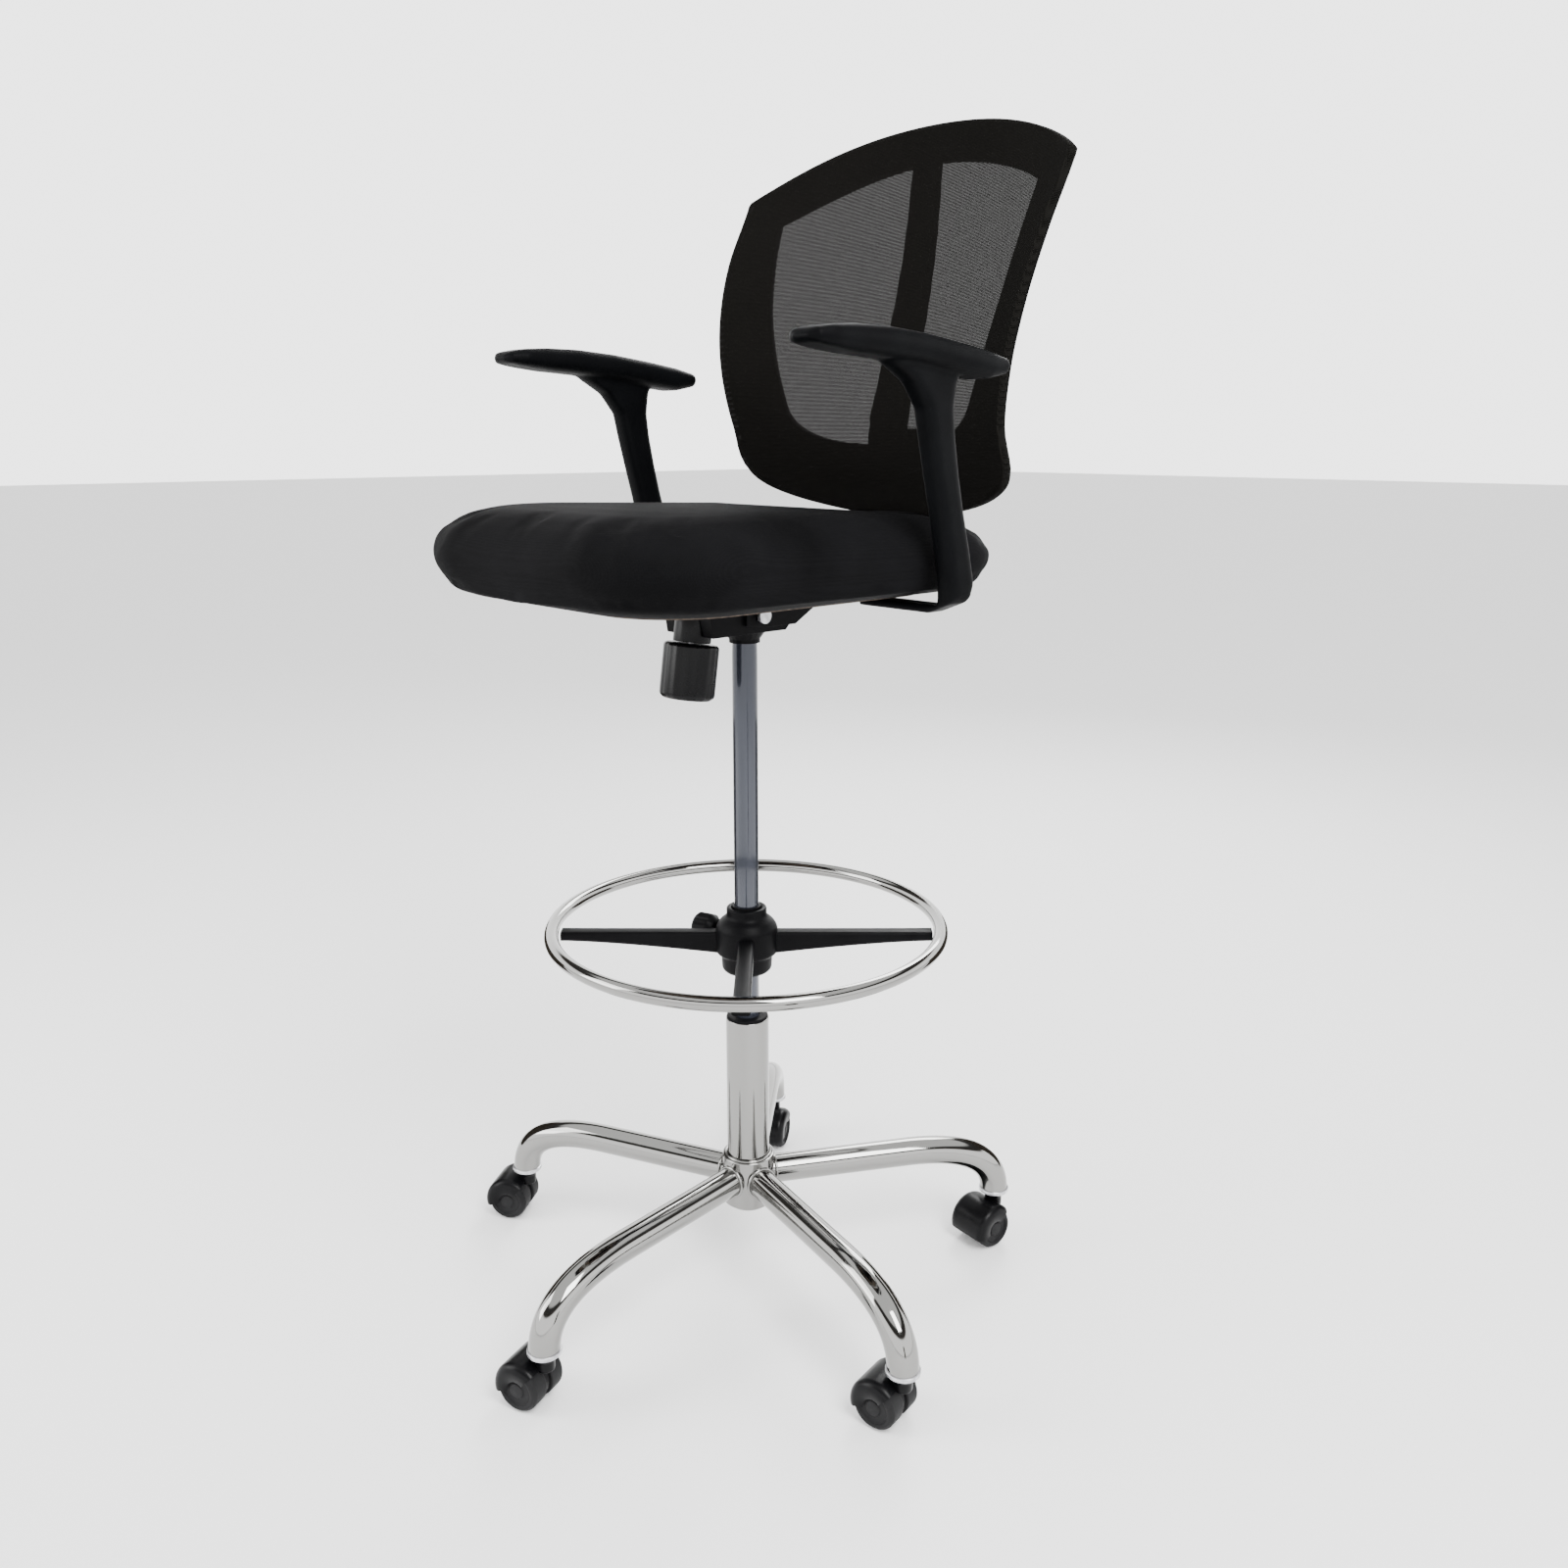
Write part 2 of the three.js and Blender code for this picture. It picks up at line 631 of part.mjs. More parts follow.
// The cushion: a rounded outline whose edges roll over in steps, wrapped round the edge of
// the board in its underside. Its top falls to the rear.
function seatCushion() {
  const levels = [
    [0, 60],
    [4, 38],
    [11, 19],
    [22, 6],
    [38, 0],
    [60, 2],
    [75, 12],
    [83, 30],
    [87, 58],
  ];
  const thickness = levels[levels.length - 1][0];
  const foam = lofted(levels, ([rise, inset]) => {
    const outline = seatOutline(inset, inset / 2);
    return outline.getPoints(4).map((p) => {
      const rearward = Math.max(0, p.y) / SEAT_REAR;
      const drop = (SEAT_DROP * rearward * rise) / thickness;
      return [p.x, p.y, SEAT_BOTTOM + rise - drop];
    });
  });
  return cut(foam, boardPanel(BOARD_INSET - 1, PLATE_TOP, BOARD_TOP + GAP));
}

function seatOutline(inset, sharper) {
  const w = SEAT_HALF_WIDTH - inset;
  const front = SEAT_FRONT_CORNER - sharper;
  const rear = SEAT_REAR_CORNER - sharper;
  return roundedRectangle(-w, SEAT_FRONT + inset, w, SEAT_REAR - inset, front, rear);
}

// A solid through rings of corners, each ring with as many corners as the others.
function lofted(levels, ringAt) {
  const rings = levels.map(ringAt).map((ring) => {
    const [first, last] = [ring[0], ring[ring.length - 1]];
    const closes = Math.hypot(first[0] - last[0], first[1] - last[1]) < 1e-6;
    return closes ? ring.slice(0, -1) : ring;
  });
  const count = rings[0].length;
  const triangles = [];
  const face = (a, b, c) => triangles.push(...a, ...b, ...c);
  for (let k = 0; k + 1 < rings.length; k++) {
    for (let i = 0; i < count; i++) {
      const j = (i + 1) % count;
      face(rings[k][i], rings[k][j], rings[k + 1][j]);
      face(rings[k][i], rings[k + 1][j], rings[k + 1][i]);
    }
  }
  const lid = (ring, turn) => {
    const middle = [0, 1, 2].map((d) => ring.reduce((sum, p) => sum + p[d], 0) / count);
    for (let i = 0; i < count; i++) {
      const j = (i + 1) % count;
      if (turn) face(middle, ring[j], ring[i]);
      else face(middle, ring[i], ring[j]);
    }
  };
  lid(rings[0], true);
  lid(rings[rings.length - 1], false);
  const geometry = new THREE.BufferGeometry();
  geometry.setAttribute("position", new THREE.Float32BufferAttribute(triangles, 3));
  return solidOf(geometry);
}

const boardPanel = (inset, z0, z1) =>
  planProfile(seatOutline(inset, BOARD_CORNER_CUT), z0, z1);

function addSeat() {
  addPiece("seat_plate", seatPlate(), BLACK_STEEL);
  addPiece("seat_board", boardPanel(BOARD_INSET, BOARD_BOTTOM, BOARD_TOP), BOARD);
  addPiece("seat_cushion", seatCushion(), FABRIC);
}

// ---------- back ----------

// A smooth curve through one column of the stations.
function backCurve(key) {
  const points = BACK_STATIONS.map((s) => new THREE.Vector2(s.z, s[key]));
  return (z) => {
    let i = 0;
    while (i < points.length - 2 && z > points[i + 1].x) i++;
    const at = (k) => points[Math.min(Math.max(k, 0), points.length - 1)];
    const [p0, p1, p2, p3] = [at(i - 1), at(i), at(i + 1), at(i + 2)];
    const t = (z - p1.x) / (p2.x - p1.x);
    const slope1 = ((p2.y - p0.y) / (p2.x - p0.x)) * (p2.x - p1.x);
    const slope2 = ((p3.y - p1.y) / (p3.x - p1.x)) * (p2.x - p1.x);
    const a = 2 * t ** 3 - 3 * t ** 2 + 1;
    const b = t ** 3 - 2 * t ** 2 + t;
    const c = t ** 3 - t ** 2;
    return a * p1.y + b * slope1 + (1 - a) * p2.y + c * slope2;
  };
}

const backHalf = backCurve("half");
const backEdge = backCurve("edge");
const backMiddle = backCurve("middle");

// Depth of the back's middle surface at a point of its outline.
function backDepth(x, z) {
  const across = Math.min(1, (x / 240) ** 2);
  return backMiddle(z) + (backEdge(z) - backMiddle(z)) * across;
}

// The back's outer edge in the X-Z plane: arched top, S-shaped sides, rounded bottom.
function backOutline(inset) {
  const shape = new THREE.Shape();
  const w = (z) => backHalf(z) - inset;
  const bottom = BACK_BOTTOM + inset;
  const top = BACK_TOP - inset;
  const rise = [946, 1000, 1060, 1120, 1190, BACK_CORNER_Z - inset];
  shape.moveTo(-w(946), 946);
  shape.quadraticCurveTo(-178, bottom + 15, -64, bottom);
  shape.lineTo(64, bottom);
  shape.quadraticCurveTo(178, bottom + 15, w(946), 946);
  rise.slice(1).forEach((z) => shape.lineTo(w(z), z));
  shape.quadraticCurveTo(140, top, 0, top);
  shape.quadraticCurveTo(-140, top, -w(rise[5]), rise[5]);
  rise.slice(1, -1).reverse().forEach((z) => shape.lineTo(-w(z), z));
  return shape;
}

// One of the two mesh windows beside the spine.
function windowOutline() {
  const shape = new THREE.Shape();
  const { bottom, top } = SPINE_HALF_WIDTH;
  shape.moveTo(bottom, 979);
  shape.lineTo(64, 983);
  shape.quadraticCurveTo(134, 990, 146, 1026);
  shape.quadraticCurveTo(168, 1086, 180, 1140);
  shape.quadraticCurveTo(190, 1195, 194, 1240);
  shape.quadraticCurveTo(110, 1282, top, 1287);
  return shape;
}

// A panel that follows the back's surface, with its front face `front` from the middle.
function backPanel(outline, front, rear, columns, rows) {
  return frontProfile(outline, ...BACK_DEPTHS, 4).intersect(backSlab(front, rear, columns, rows));
}

// A thick sheet over the whole of the back, curved like its surface.
function backSlab(front, rear, columns, rows) {
  const [x0, x1, z0, z1] = [-252, 252, 880, 1342];
  const triangles = [];
  const at = (i, j, side) => {
    const x = x0 + ((x1 - x0) * i) / columns;
    const z = z0 + ((z1 - z0) * j) / rows;
    return [x, backDepth(x, z) + side, z];
  };
  const quad = (a, b, c, d) => triangles.push(...a, ...b, ...c, ...a, ...c, ...d);
  const far = [columns, rows];
  for (let i = 0; i < columns; i++) {
    for (let j = 0; j < rows; j++) {
      quad(at(i, j, front), at(i + 1, j, front), at(i + 1, j + 1, front), at(i, j + 1, front));
      quad(at(i, j, rear), at(i, j + 1, rear), at(i + 1, j + 1, rear), at(i + 1, j, rear));
    }
  }
  for (let i = 0; i < columns; i++) {
    quad(at(i, 0, front), at(i, 0, rear), at(i + 1, 0, rear), at(i + 1, 0, front));
    quad(at(i, far[1], front), at(i + 1, far[1], front), at(i + 1, far[1], rear), at(i, far[1], rear));
  }
  for (let j = 0; j < rows; j++) {
    quad(at(0, j, front), at(0, j + 1, front), at(0, j + 1, rear), at(0, j, rear));
    quad(at(far[0], j, front), at(far[0], j, rear), at(far[0], j + 1, rear), at(far[0], j + 1, front));
  }
  const geometry = new THREE.BufferGeometry();
  geometry.setAttribute("position", new THREE.Float32BufferAttribute(triangles, 3));
  return solidOf(geometry);
}

function addBack() {
  const half = BACK_THICKNESS / 2;
  const window = frontProfile(windowOutline(), ...BACK_DEPTHS, 3);
  const frame = backPanel(backOutline(0), -half, half, 10, 12);
  addPiece("back_frame", cut(frame, window, window.mirror([1, 0, 0])), BLACK_PLASTIC);
  const front = -half - GAP - MESH_THICKNESS;
  const mesh = backPanel(backOutline(2), front, -half - GAP, 10, 12);
  addPiece("back_mesh", mesh, MESH_CLOTH);
}

// The bar that carries the back: flat under the seat, then up to the frame's rear face.
function addBackBracket() {
  const bottom = 812;
  const top = PLATE_TOP - 4 - GAP;
  const shape = new THREE.Shape();
  shape.moveTo(40, bottom);
  shape.lineTo(218, bottom);
  shape.quadraticCurveTo(292, bottom, 291, 870);
  shape.quadraticCurveTo(290, 925, 266, 965);
  shape.lineTo(252, 1002);
  shape.lineTo(215, 1002);
  shape.quadraticCurveTo(215, 960, 240, 915);
  shape.quadraticCurveTo(270, 895, 268, 868);
  shape.quadraticCurveTo(262, top, 214, top);
  shape.lineTo(40, top);
  const half = 32;
  const jBar = sideProfile(shape, -half, half, 6);
  const clearance = backSlab(-60, BACK_THICKNESS / 2 + GAP, 10, 12);
  addPiece("back_bracket", cut(jBar, clearance), BLACK_PLASTIC);
}

// ---------- arms ----------

function armSide() {
  const shape = new THREE.Shape();
  shape.moveTo(56, 832);
  shape.lineTo(72, 832);
  shape.quadraticCurveTo(84, 834, 88, 856);
  shape.quadraticCurveTo(78, 895, 68, 925);
  shape.quadraticCurveTo(54, 980, 50, 1016);
  shape.quadraticCurveTo(50, 1038, 80, 1048);
  shape.lineTo(34, 1066);
  shape.lineTo(-56, 1066);
  shape.quadraticCurveTo(-2, 1055, 9, 1016);
  shape.quadraticCurveTo(21, 960, 32, 925);
  shape.quadraticCurveTo(44, 880, 50, 850);
  return shape;
}

function armPad() {
  const half = ARM_PAD_WIDTH / 2;
  const shape = new THREE.Shape();
  shape.moveTo(-146, 1070);
  shape.quadraticCurveTo(-128, 1063, -72, 1059);
  shape.quadraticCurveTo(24, 1055, 70, 1043);
  shape.lineTo(98, 1043);
  shape.lineTo(124, 1052);
  shape.lineTo(124, 1061);
  shape.quadraticCurveTo(40, 1083, -56, 1085);
  shape.quadraticCurveTo(-128, 1087, -146, 1077);
  const side = sideProfile(shape, -half, half, 6);
  const plan = planProfile(roundedRectangle(-half, -147, half, 125, 16, 18), 1000, 1120, 4);
  return side.intersect(plan);
}

// An arm about its own middle plane: pad, post, and a foot that reaches under the board.
function arm() {
  const half = ARM_POST_WIDTH / 2;
  const post = sideProfile(armSide(), -half, half, 5);
  const section = polygon([
    [-ARM_FOOT_REACH, 820],
    [-24, 820],
    [half - 3, 836],
    [half - 3, 850],
    [-half, 850],
    [-half, PLATE_TOP],
    [-ARM_FOOT_REACH, PLATE_TOP],
  ]);
  const foot = frontProfile(section, 54, 80);
  return moved(joined(post, foot, armPad()), ARM_CENTRE, 0, 0);
}

function addArms() {
  addPiece("arm_left", arm(), ARM_PLASTIC);
  addPiece("arm_right", arm().mirror([1, 0, 0]), ARM_PLASTIC);
}

// ---------- assembly ----------

addBase();
for (let i = 0; i < LEG_COUNT; i++) addCaster(i);
addGasLift();
addFootRing();
addMechanism();
addLever();
addSeat();
addBack();
addBackBracket();
addArms();

const extent = new THREE.Box3().setFromObject(chair);
const middle = extent.getCenter(new THREE.Vector3());
chair.position.set(-middle.x, -middle.y, -extent.min.z);

export default chair;
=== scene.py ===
"""Looks of the drafting chair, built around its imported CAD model.

Lengths in this script are millimetres about the gas lift's axis, floor at z = 0, as in the
CAD source. They become metres in the row frame when a mesh is made. The sitter faces -Y.
"""

import math

import bmesh
import bpy
import numpy as np
from mathutils import Matrix, Vector
from mathutils.geometry import delaunay_2d_cdt


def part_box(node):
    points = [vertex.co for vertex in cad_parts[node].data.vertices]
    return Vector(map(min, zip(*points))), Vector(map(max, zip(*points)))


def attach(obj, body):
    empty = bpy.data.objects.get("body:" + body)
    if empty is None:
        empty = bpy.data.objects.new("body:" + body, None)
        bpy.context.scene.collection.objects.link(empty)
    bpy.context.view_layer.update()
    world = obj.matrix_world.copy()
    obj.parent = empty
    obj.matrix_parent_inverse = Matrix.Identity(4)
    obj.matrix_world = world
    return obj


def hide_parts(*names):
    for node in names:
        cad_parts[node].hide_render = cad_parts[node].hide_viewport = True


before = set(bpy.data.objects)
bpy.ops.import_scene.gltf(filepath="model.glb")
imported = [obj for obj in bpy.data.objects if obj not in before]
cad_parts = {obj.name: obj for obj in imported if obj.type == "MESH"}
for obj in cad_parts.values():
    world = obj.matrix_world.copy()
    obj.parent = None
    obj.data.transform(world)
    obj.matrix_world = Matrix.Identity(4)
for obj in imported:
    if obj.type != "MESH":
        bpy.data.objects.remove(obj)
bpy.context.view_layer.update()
TUBE_LOW, TUBE_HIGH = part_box("lift_tube")
AXIS = Vector(((TUBE_LOW.x + TUBE_HIGH.x) / 2, (TUBE_LOW.y + TUBE_HIGH.y) / 2, 0))
MM = 0.001


def local(node):
    """A CAD node's lowest and highest corner, in millimetres about the lift's axis."""
    low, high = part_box(node)
    return (low - AXIS) / MM, (high - AXIS) / MM


# ---------- driving dimensions, as in the CAD ----------

LEG_ANGLES = [-11.8 + 72 * i for i in range(5)]
CASTER_ANGLES = [-170, -95, -60, -145, -160]
LEG_REACH = 318
LEG_HEIGHT = 131
LEG_RADIUS = 17
LEG_BEND_START = 200
LEG_END = 66
LEG_BEAD_RADIUS = LEG_RADIUS + 0.8
CASTER_TRAIL = 20
WHEEL_RADIUS = 25
HOOD_START, HOOD_SWEEP = -14, 146
HOOD_SKIRT = 16.0

COLUMN_RADIUS = 25
COLUMN_BOTTOM, COLUMN_TOP = 92, 334
HUB_RADIUS = 31
HUB_BOTTOM, HUB_TOP = 97, 158
HUB_BEAD_RADIUS = COLUMN_RADIUS + 1.6
TUBE_RADIUS = 14
TUBE_BOTTOM, TUBE_TOP = 266, 796

RING_RADIUS = 221.6
RING_HEIGHT = 447
HOOP_RADIUS = 8
SPOKE_TOP = RING_HEIGHT - 6
SPOKE_START = 47
CLAMP_TURN = 196
CLAMP_HEIGHT = 434

KNOB_LEAN = math.radians(-8.4)
KNOB_PIVOT = (0, -69, 813)
CHEEK_FACE = 43.05
CHEEK_BOLTS = ((26, 819, 4.5), (73, 818, 5.0))
LEVER_PIVOT = (-37, 8, 806)
LEVER_DROOP = math.radians(-4)
PADDLE_START = -153.5
PADDLE_LENGTH = 71

SEAT_LOW, SEAT_HIGH = local("seat_cushion")
SEAT_FRONT_CORNER, SEAT_REAR_CORNER = 115.0, 88.0
SEAT_REAR_DROP = 20
PUFF_STEPS = 20
PUFF_VOXEL = 6
PUFF_CAP = 6
ARM_CENTRE = 236
ARM_WIDTH = 48

BACK_THICKNESS = 14
BACK_HALF_WIDTH = 240
BACK_BOTTOM, BACK_SHOULDER = 903, 946
BACK_CORNER, BACK_TOP = 1266, 1326
PANEL_SPACING = 9
# Height, then half width, and how far behind the lift's axis the edge and the middle lie.
BACK_STATIONS = [
    (892, 120, 205, 250),
    (946, 196, 179, 225),
    (1000, 204, 152, 224),
    (1060, 215, 145, 238),
    (1120, 225, 157, 255),
    (1190, 233, 186, 270),
    (1265, 236, 227, 279),
    (1330, 240, 252, 284),
]


# ---------- meshes ----------


class Shape:
    """Vertices in millimetres and faces, which shapes are added to."""

    def __init__(self):
        self.points = []
        self.faces = []

    def add(self, points, faces, matrix=None):
        start = len(self.points)
        for p in points:
            v = Vector(p)
            self.points.append(matrix @ v if matrix else v)
        self.faces.extend([i + start for i in f] for f in faces)
        return self

    def join(self, other, matrix=None):
        return self.add(other.points, other.faces, matrix)


def make(name, shape, smooth_angle=40.0):
    """The shape as a Blender object in the row frame."""
    mesh = bpy.data.meshes.new(name)
    mesh.from_pydata([tuple(p * MM + AXIS) for p in shape.points], [], shape.faces)
    bm = bmesh.new()
    bm.from_mesh(mesh)
    bmesh.ops.remove_doubles(bm, verts=bm.verts, dist=1e-6)
    bmesh.ops.recalc_face_normals(bm, faces=bm.faces)
    bm.to_mesh(mesh)
    bm.free()
    shade(mesh, smooth_angle)
    made = bpy.data.objects.new(name, mesh)
    bpy.context.scene.collection.objects.link(made)
    return made


def shade(mesh, smooth_angle=40.0):
    mesh.polygons.foreach_set("use_smooth", [True] * len(mesh.polygons))
    mesh.set_sharp_from_angle(angle=math.radians(smooth_angle))


def finish_piece(made, material, body, replaces=()):
    made.data.materials.clear()
    made.data.materials.append(material)
    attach(made, body)
    if replaces:
        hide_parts(*replaces)
    return made


def piece(name, shape, material, body, replaces=(), smooth_angle=40.0):
    made = make(name, shape, smooth_angle)
    return finish_piece(made, material, body, replaces)


def turned(profile, sides=64, flutes=0, flute_depth=0.0):
    """A body of revolution about Z from [radius, z] pairs; flutes wave its widest part."""
    shape = Shape()
    widest = max(r for r, _ in profile)
    for r, z in profile:
        for i in range(sides):
            a = 2 * math.pi * i / sides
            share = max(0.0, (r / widest - 0.85) / 0.15) if flutes else 0.0
            radius = r - flute_depth * share * (0.5 - 0.5 * math.cos(flutes * a))
            shape.points.append(Vector((radius * math.cos(a), radius * math.sin(a), z)))
    for k in range(len(profile) - 1):
        for i in range(sides):
            j = (i + 1) % sides
            a, b = k * sides, (k + 1) * sides
            shape.faces.append([a + i, a + j, b + j, b + i])
    return shape


def rounded(corners, radius=1.5, steps=4):
    """A profile of [r, z] pairs with its inner corners rounded off."""
    made = [corners[0]]
    for before, corner, after in zip(corners, corners[1:], corners[2:]):
        c = Vector(corner)
        u, v = Vector(before) - c, Vector(after) - c
        reach = min(radius, u.length * 0.45, v.length * 0.45)
        if reach < 1e-3 or abs(u.angle(v, 0) - math.pi) < 0.05:
            made.append(corner)
            continue
        start, end = c + u.normalized() * reach, c + v.normalized() * reach
        for k in range(steps + 1):
            t = k / steps
            made.append(tuple((1 - t) ** 2 * start + 2 * t * (1 - t) * c + t * t * end))
    made.append(corners[-1])
    return made


def frames(path):
    """A turning-free frame at each point of a path."""
    points = [Vector(p) for p in path]
    tangents = []
    for i in range(len(points)):
        ahead = points[min(i + 1, len(points) - 1)]
        behind = points[max(i - 1, 0)]
        tangents.append((ahead - behind).normalized())
    first = Vector((1, 0, 0)) if abs(tangents[0].x) < 0.7 else Vector((0, 0, 1))
    normal = tangents[0].cross(first).normalized()
    made = []
    for point, tangent in zip(points, tangents):
        normal = (normal - tangent * normal.dot(tangent)).normalized()
        made.append((point, tangent, normal, tangent.cross(normal)))
    return made


def swept(path, section, scale=None, capped=True):
    """A section of [u, v] pairs carried along a path."""
    shape = Shape()
    count = len(section)
    rings = frames(path)
    for k, (point, _, normal, side) in enumerate(rings):
        s = scale(k / (len(rings) - 1)) if scale else 1.0
        for u, v in section:
            shape.points.append(point + normal * (u * s) + side * (v * s))
    for k in range(len(rings) - 1):
        for i in range(count):
            j = (i + 1) % count
            a, b = k * count, (k + 1) * count
            shape.faces.append([a + i, a + j, b + j, b + i])
    if capped:
        shape.faces.append(list(range(count))[::-1])
        shape.faces.append([(len(rings) - 1) * count + i for i in range(count)])
    return shape


def circle(radius, sides=32):
    turn = 2 * math.pi / sides
    return [(radius * math.cos(i * turn), radius * math.sin(i * turn)) for i in range(sides)]


def rounded_box(width, height, radius, steps=4):
    """A rounded rectangle about the origin, as [u, v] pairs."""
    made = []
    for k, (su, sv) in enumerate([(1, 1), (-1, 1), (-1, -1), (1, -1)]):
        for i in range(steps + 1):
            a = (k + i / steps) * math.pi / 2
            u = su * (width / 2 - radius) + radius * math.cos(a)
            v = sv * (height / 2 - radius) + radius * math.sin(a)
            made.append((u, v))
    return made


def lofted(rings, capped=True):
    """A skin over rings of points that all have the same count."""
    shape = Shape()
    count = len(rings[0])
    for ring in rings:
        shape.points.extend(Vector(p) for p in ring)
    for k in range(len(rings) - 1):
        for i in range(count):
            j = (i + 1) % count
            a, b = k * count, (k + 1) * count
            shape.faces.append([a + i, a + j, b + j, b + i])
    if capped:
        shape.faces.append(list(range(count))[::-1])
        shape.faces.append([(len(rings) - 1) * count + i for i in range(count)])
    return shape


def about_z(degrees, x=0.0, y=0.0, z=0.0):
    turn = Matrix.Rotation(math.radians(degrees), 4, "Z")
    return Matrix.Translation((x, y, z)) @ turn


def bezier(p0, p1, p2, steps):
    """Points of a quadratic curve, without its first one."""
    a, b, c = Vector(p0), Vector(p1), Vector(p2)
    made = []
    for k in range(1, steps + 1):
        t = k / steps
        made.append((1 - t) ** 2 * a + 2 * t * (1 - t) * b + t * t * c)
    return made


def modify(made, kind, **settings):
    modifier = made.modifiers.new(kind.title(), kind)
    for key, value in settings.items():
        setattr(modifier, key, value)
    return modifier


def apply_modifiers(made):
    depsgraph = bpy.context.evaluated_depsgraph_get()
    mesh = bpy.data.meshes.new_from_object(made.evaluated_get(depsgraph))
    made.modifiers.clear()
    made.data = mesh


# ---------- materials ----------

METAL = 1.0
SEAT_YARNS = 240
HOLE_EDGE = 0.6
HOLE_COVER = 0.84
SATIN_TONES = (0.0012, 0.0012, 0.0015), (0.0024, 0.0024, 0.0028)
GLOSS_TONES = (0.001, 0.001, 0.0012), (0.002, 0.002, 0.0024)
HOOD_TONES = (0.0015, 0.0015, 0.0018), (0.003, 0.003, 0.0035)
TREAD_TONES = (0.006, 0.006, 0.0065), (0.012, 0.012, 0.0125)
ARM_TONES = (0.0013, 0.0014, 0.0017), (0.0022, 0.0024, 0.0028)
FRAME_TONES = (0.001, 0.001, 0.001), (0.002, 0.002, 0.002)
NYLON_TONES = (0.002, 0.002, 0.0022), (0.004, 0.004, 0.0042)


class Paint:
    """A Principled material whose detail nodes read the object's own coordinates."""

    def __init__(self, name, color, roughness, metallic=0.0, **sockets):
        self.material = bpy.data.materials.new(name)
        self.material.use_nodes = True
        self.tree = self.material.node_tree
        self.shader = self.tree.nodes["Principled BSDF"]
        self.shader.inputs["Base Color"].default_value = (*color, 1)
        self.shader.inputs["Roughness"].default_value = roughness
        self.shader.inputs["Metallic"].default_value = metallic
        for key, value in sockets.items():
            self.shader.inputs[key.replace("_", " ")].default_value = value
        self.place = self.tree.nodes.new("ShaderNodeTexCoord").outputs["Object"]

    def node(self, kind, **inputs):
        made = self.tree.nodes.new(kind)
        for key, value in inputs.items():
            made.inputs[key.replace("_", " ")].default_value = value
        return made

    def link(self, output, target):
        self.tree.links.new(output, target)

    def noise(self, scale, detail=4.0, stretch=(1, 1, 1)):
        mapping = self.node("ShaderNodeMapping", Scale=stretch)
        self.link(self.place, mapping.inputs["Vector"])
        made = self.node("ShaderNodeTexNoise", Scale=scale, Detail=detail)
        self.link(mapping.outputs["Vector"], made.inputs["Vector"])
        return made.outputs["Fac"]

    def cells(self, scale):
        made = self.node("ShaderNodeTexVoronoi", Scale=scale)
        self.link(self.place, made.inputs["Vector"])
        return made.outputs["Distance"]

    def wave(self, scale, axis, distortion=0.0):
        made = self.node("ShaderNodeTexWave", Scale=scale, Distortion=distortion)
        made.bands_direction = axis
        self.link(self.place, made.inputs["Vector"])
        return made.outputs["Fac"]

    def spread(self, value, low, high):
        made = self.node("ShaderNodeMapRange", To_Min=low, To_Max=high)
        self.link(value, made.inputs["Value"])
        return made.outputs["Result"]

    def math(self, kind, a, b):
        made = self.tree.nodes.new("ShaderNodeMath")
        made.operation = kind
        for socket, value in zip(made.inputs, (a, b)):
            if isinstance(value, (int, float)):
                socket.default_value = value
            else:
                self.link(value, socket)
        return made.outputs[0]

    def colors(self, value, dark, light, low=0.35, high=0.65):
        made = self.tree.nodes.new("ShaderNodeValToRGB")
        first, last = made.color_ramp.elements
        first.position, last.position = low, high
        first.color, last.color = (*dark, 1), (*light, 1)
        self.link(value, made.inputs["Fac"])
        self.link(made.outputs["Color"], self.shader.inputs["Base Color"])
        return self

    def rough(self, value, low, high):
        self.link(self.spread(value, low, high), self.shader.inputs["Roughness"])
        return self

    def bump(self, height, distance, strength=1.0):
        made = self.node("ShaderNodeBump", Distance=distance, Strength=strength)
        self.link(height, made.inputs["Height"])
        self.link(made.outputs["Normal"], self.shader.inputs["Normal"])
        return self


def chrome_paint():
    paint = Paint("chrome_plate", (0.25, 0.248, 0.24), 0.07, METAL)
    paint.rough(paint.noise(60, 5), 0.045, 0.12)
    return paint.bump(paint.noise(18, 2), 0.00015, 0.25).material


def steel_paint():
    dark, light = (0.42, 0.42, 0.44), (0.66, 0.66, 0.68)
    paint = Paint("zinc_steel", dark, 0.35, METAL)
    paint.colors(paint.noise(160, 4), dark, light)
    return paint.rough(paint.noise(400, 3, (1, 1, 8)), 0.25, 0.45).material


def tube_paint():
    """Slate-coloured lacquer with a faint draw along the tube."""
    dark, light = (0.022, 0.025, 0.035), (0.04, 0.044, 0.06)
    paint = Paint("slate_tube", dark, 0.2, 0.5, Coat_Weight=0.5, Coat_Roughness=0.08)
    paint.colors(paint.noise(14, 5, (1, 1, 0.2)), dark, light)
    return paint.rough(paint.noise(120, 4, (1, 1, 0.1)), 0.14, 0.26).material


def moulded_paint(name, tones, rough, grain=1400, depth=0.00012, shine=0.1):
    """Moulded plastic or powder coat: slight mottling and a fine grain."""
    dark, light = tones
    paint = Paint(name, dark, rough[0], Specular_IOR_Level=shine)
    paint.colors(paint.noise(22, 5), dark, light)
    paint.rough(paint.noise(45, 4), *rough)
    return paint.bump(paint.cells(grain), depth, 0.35).material


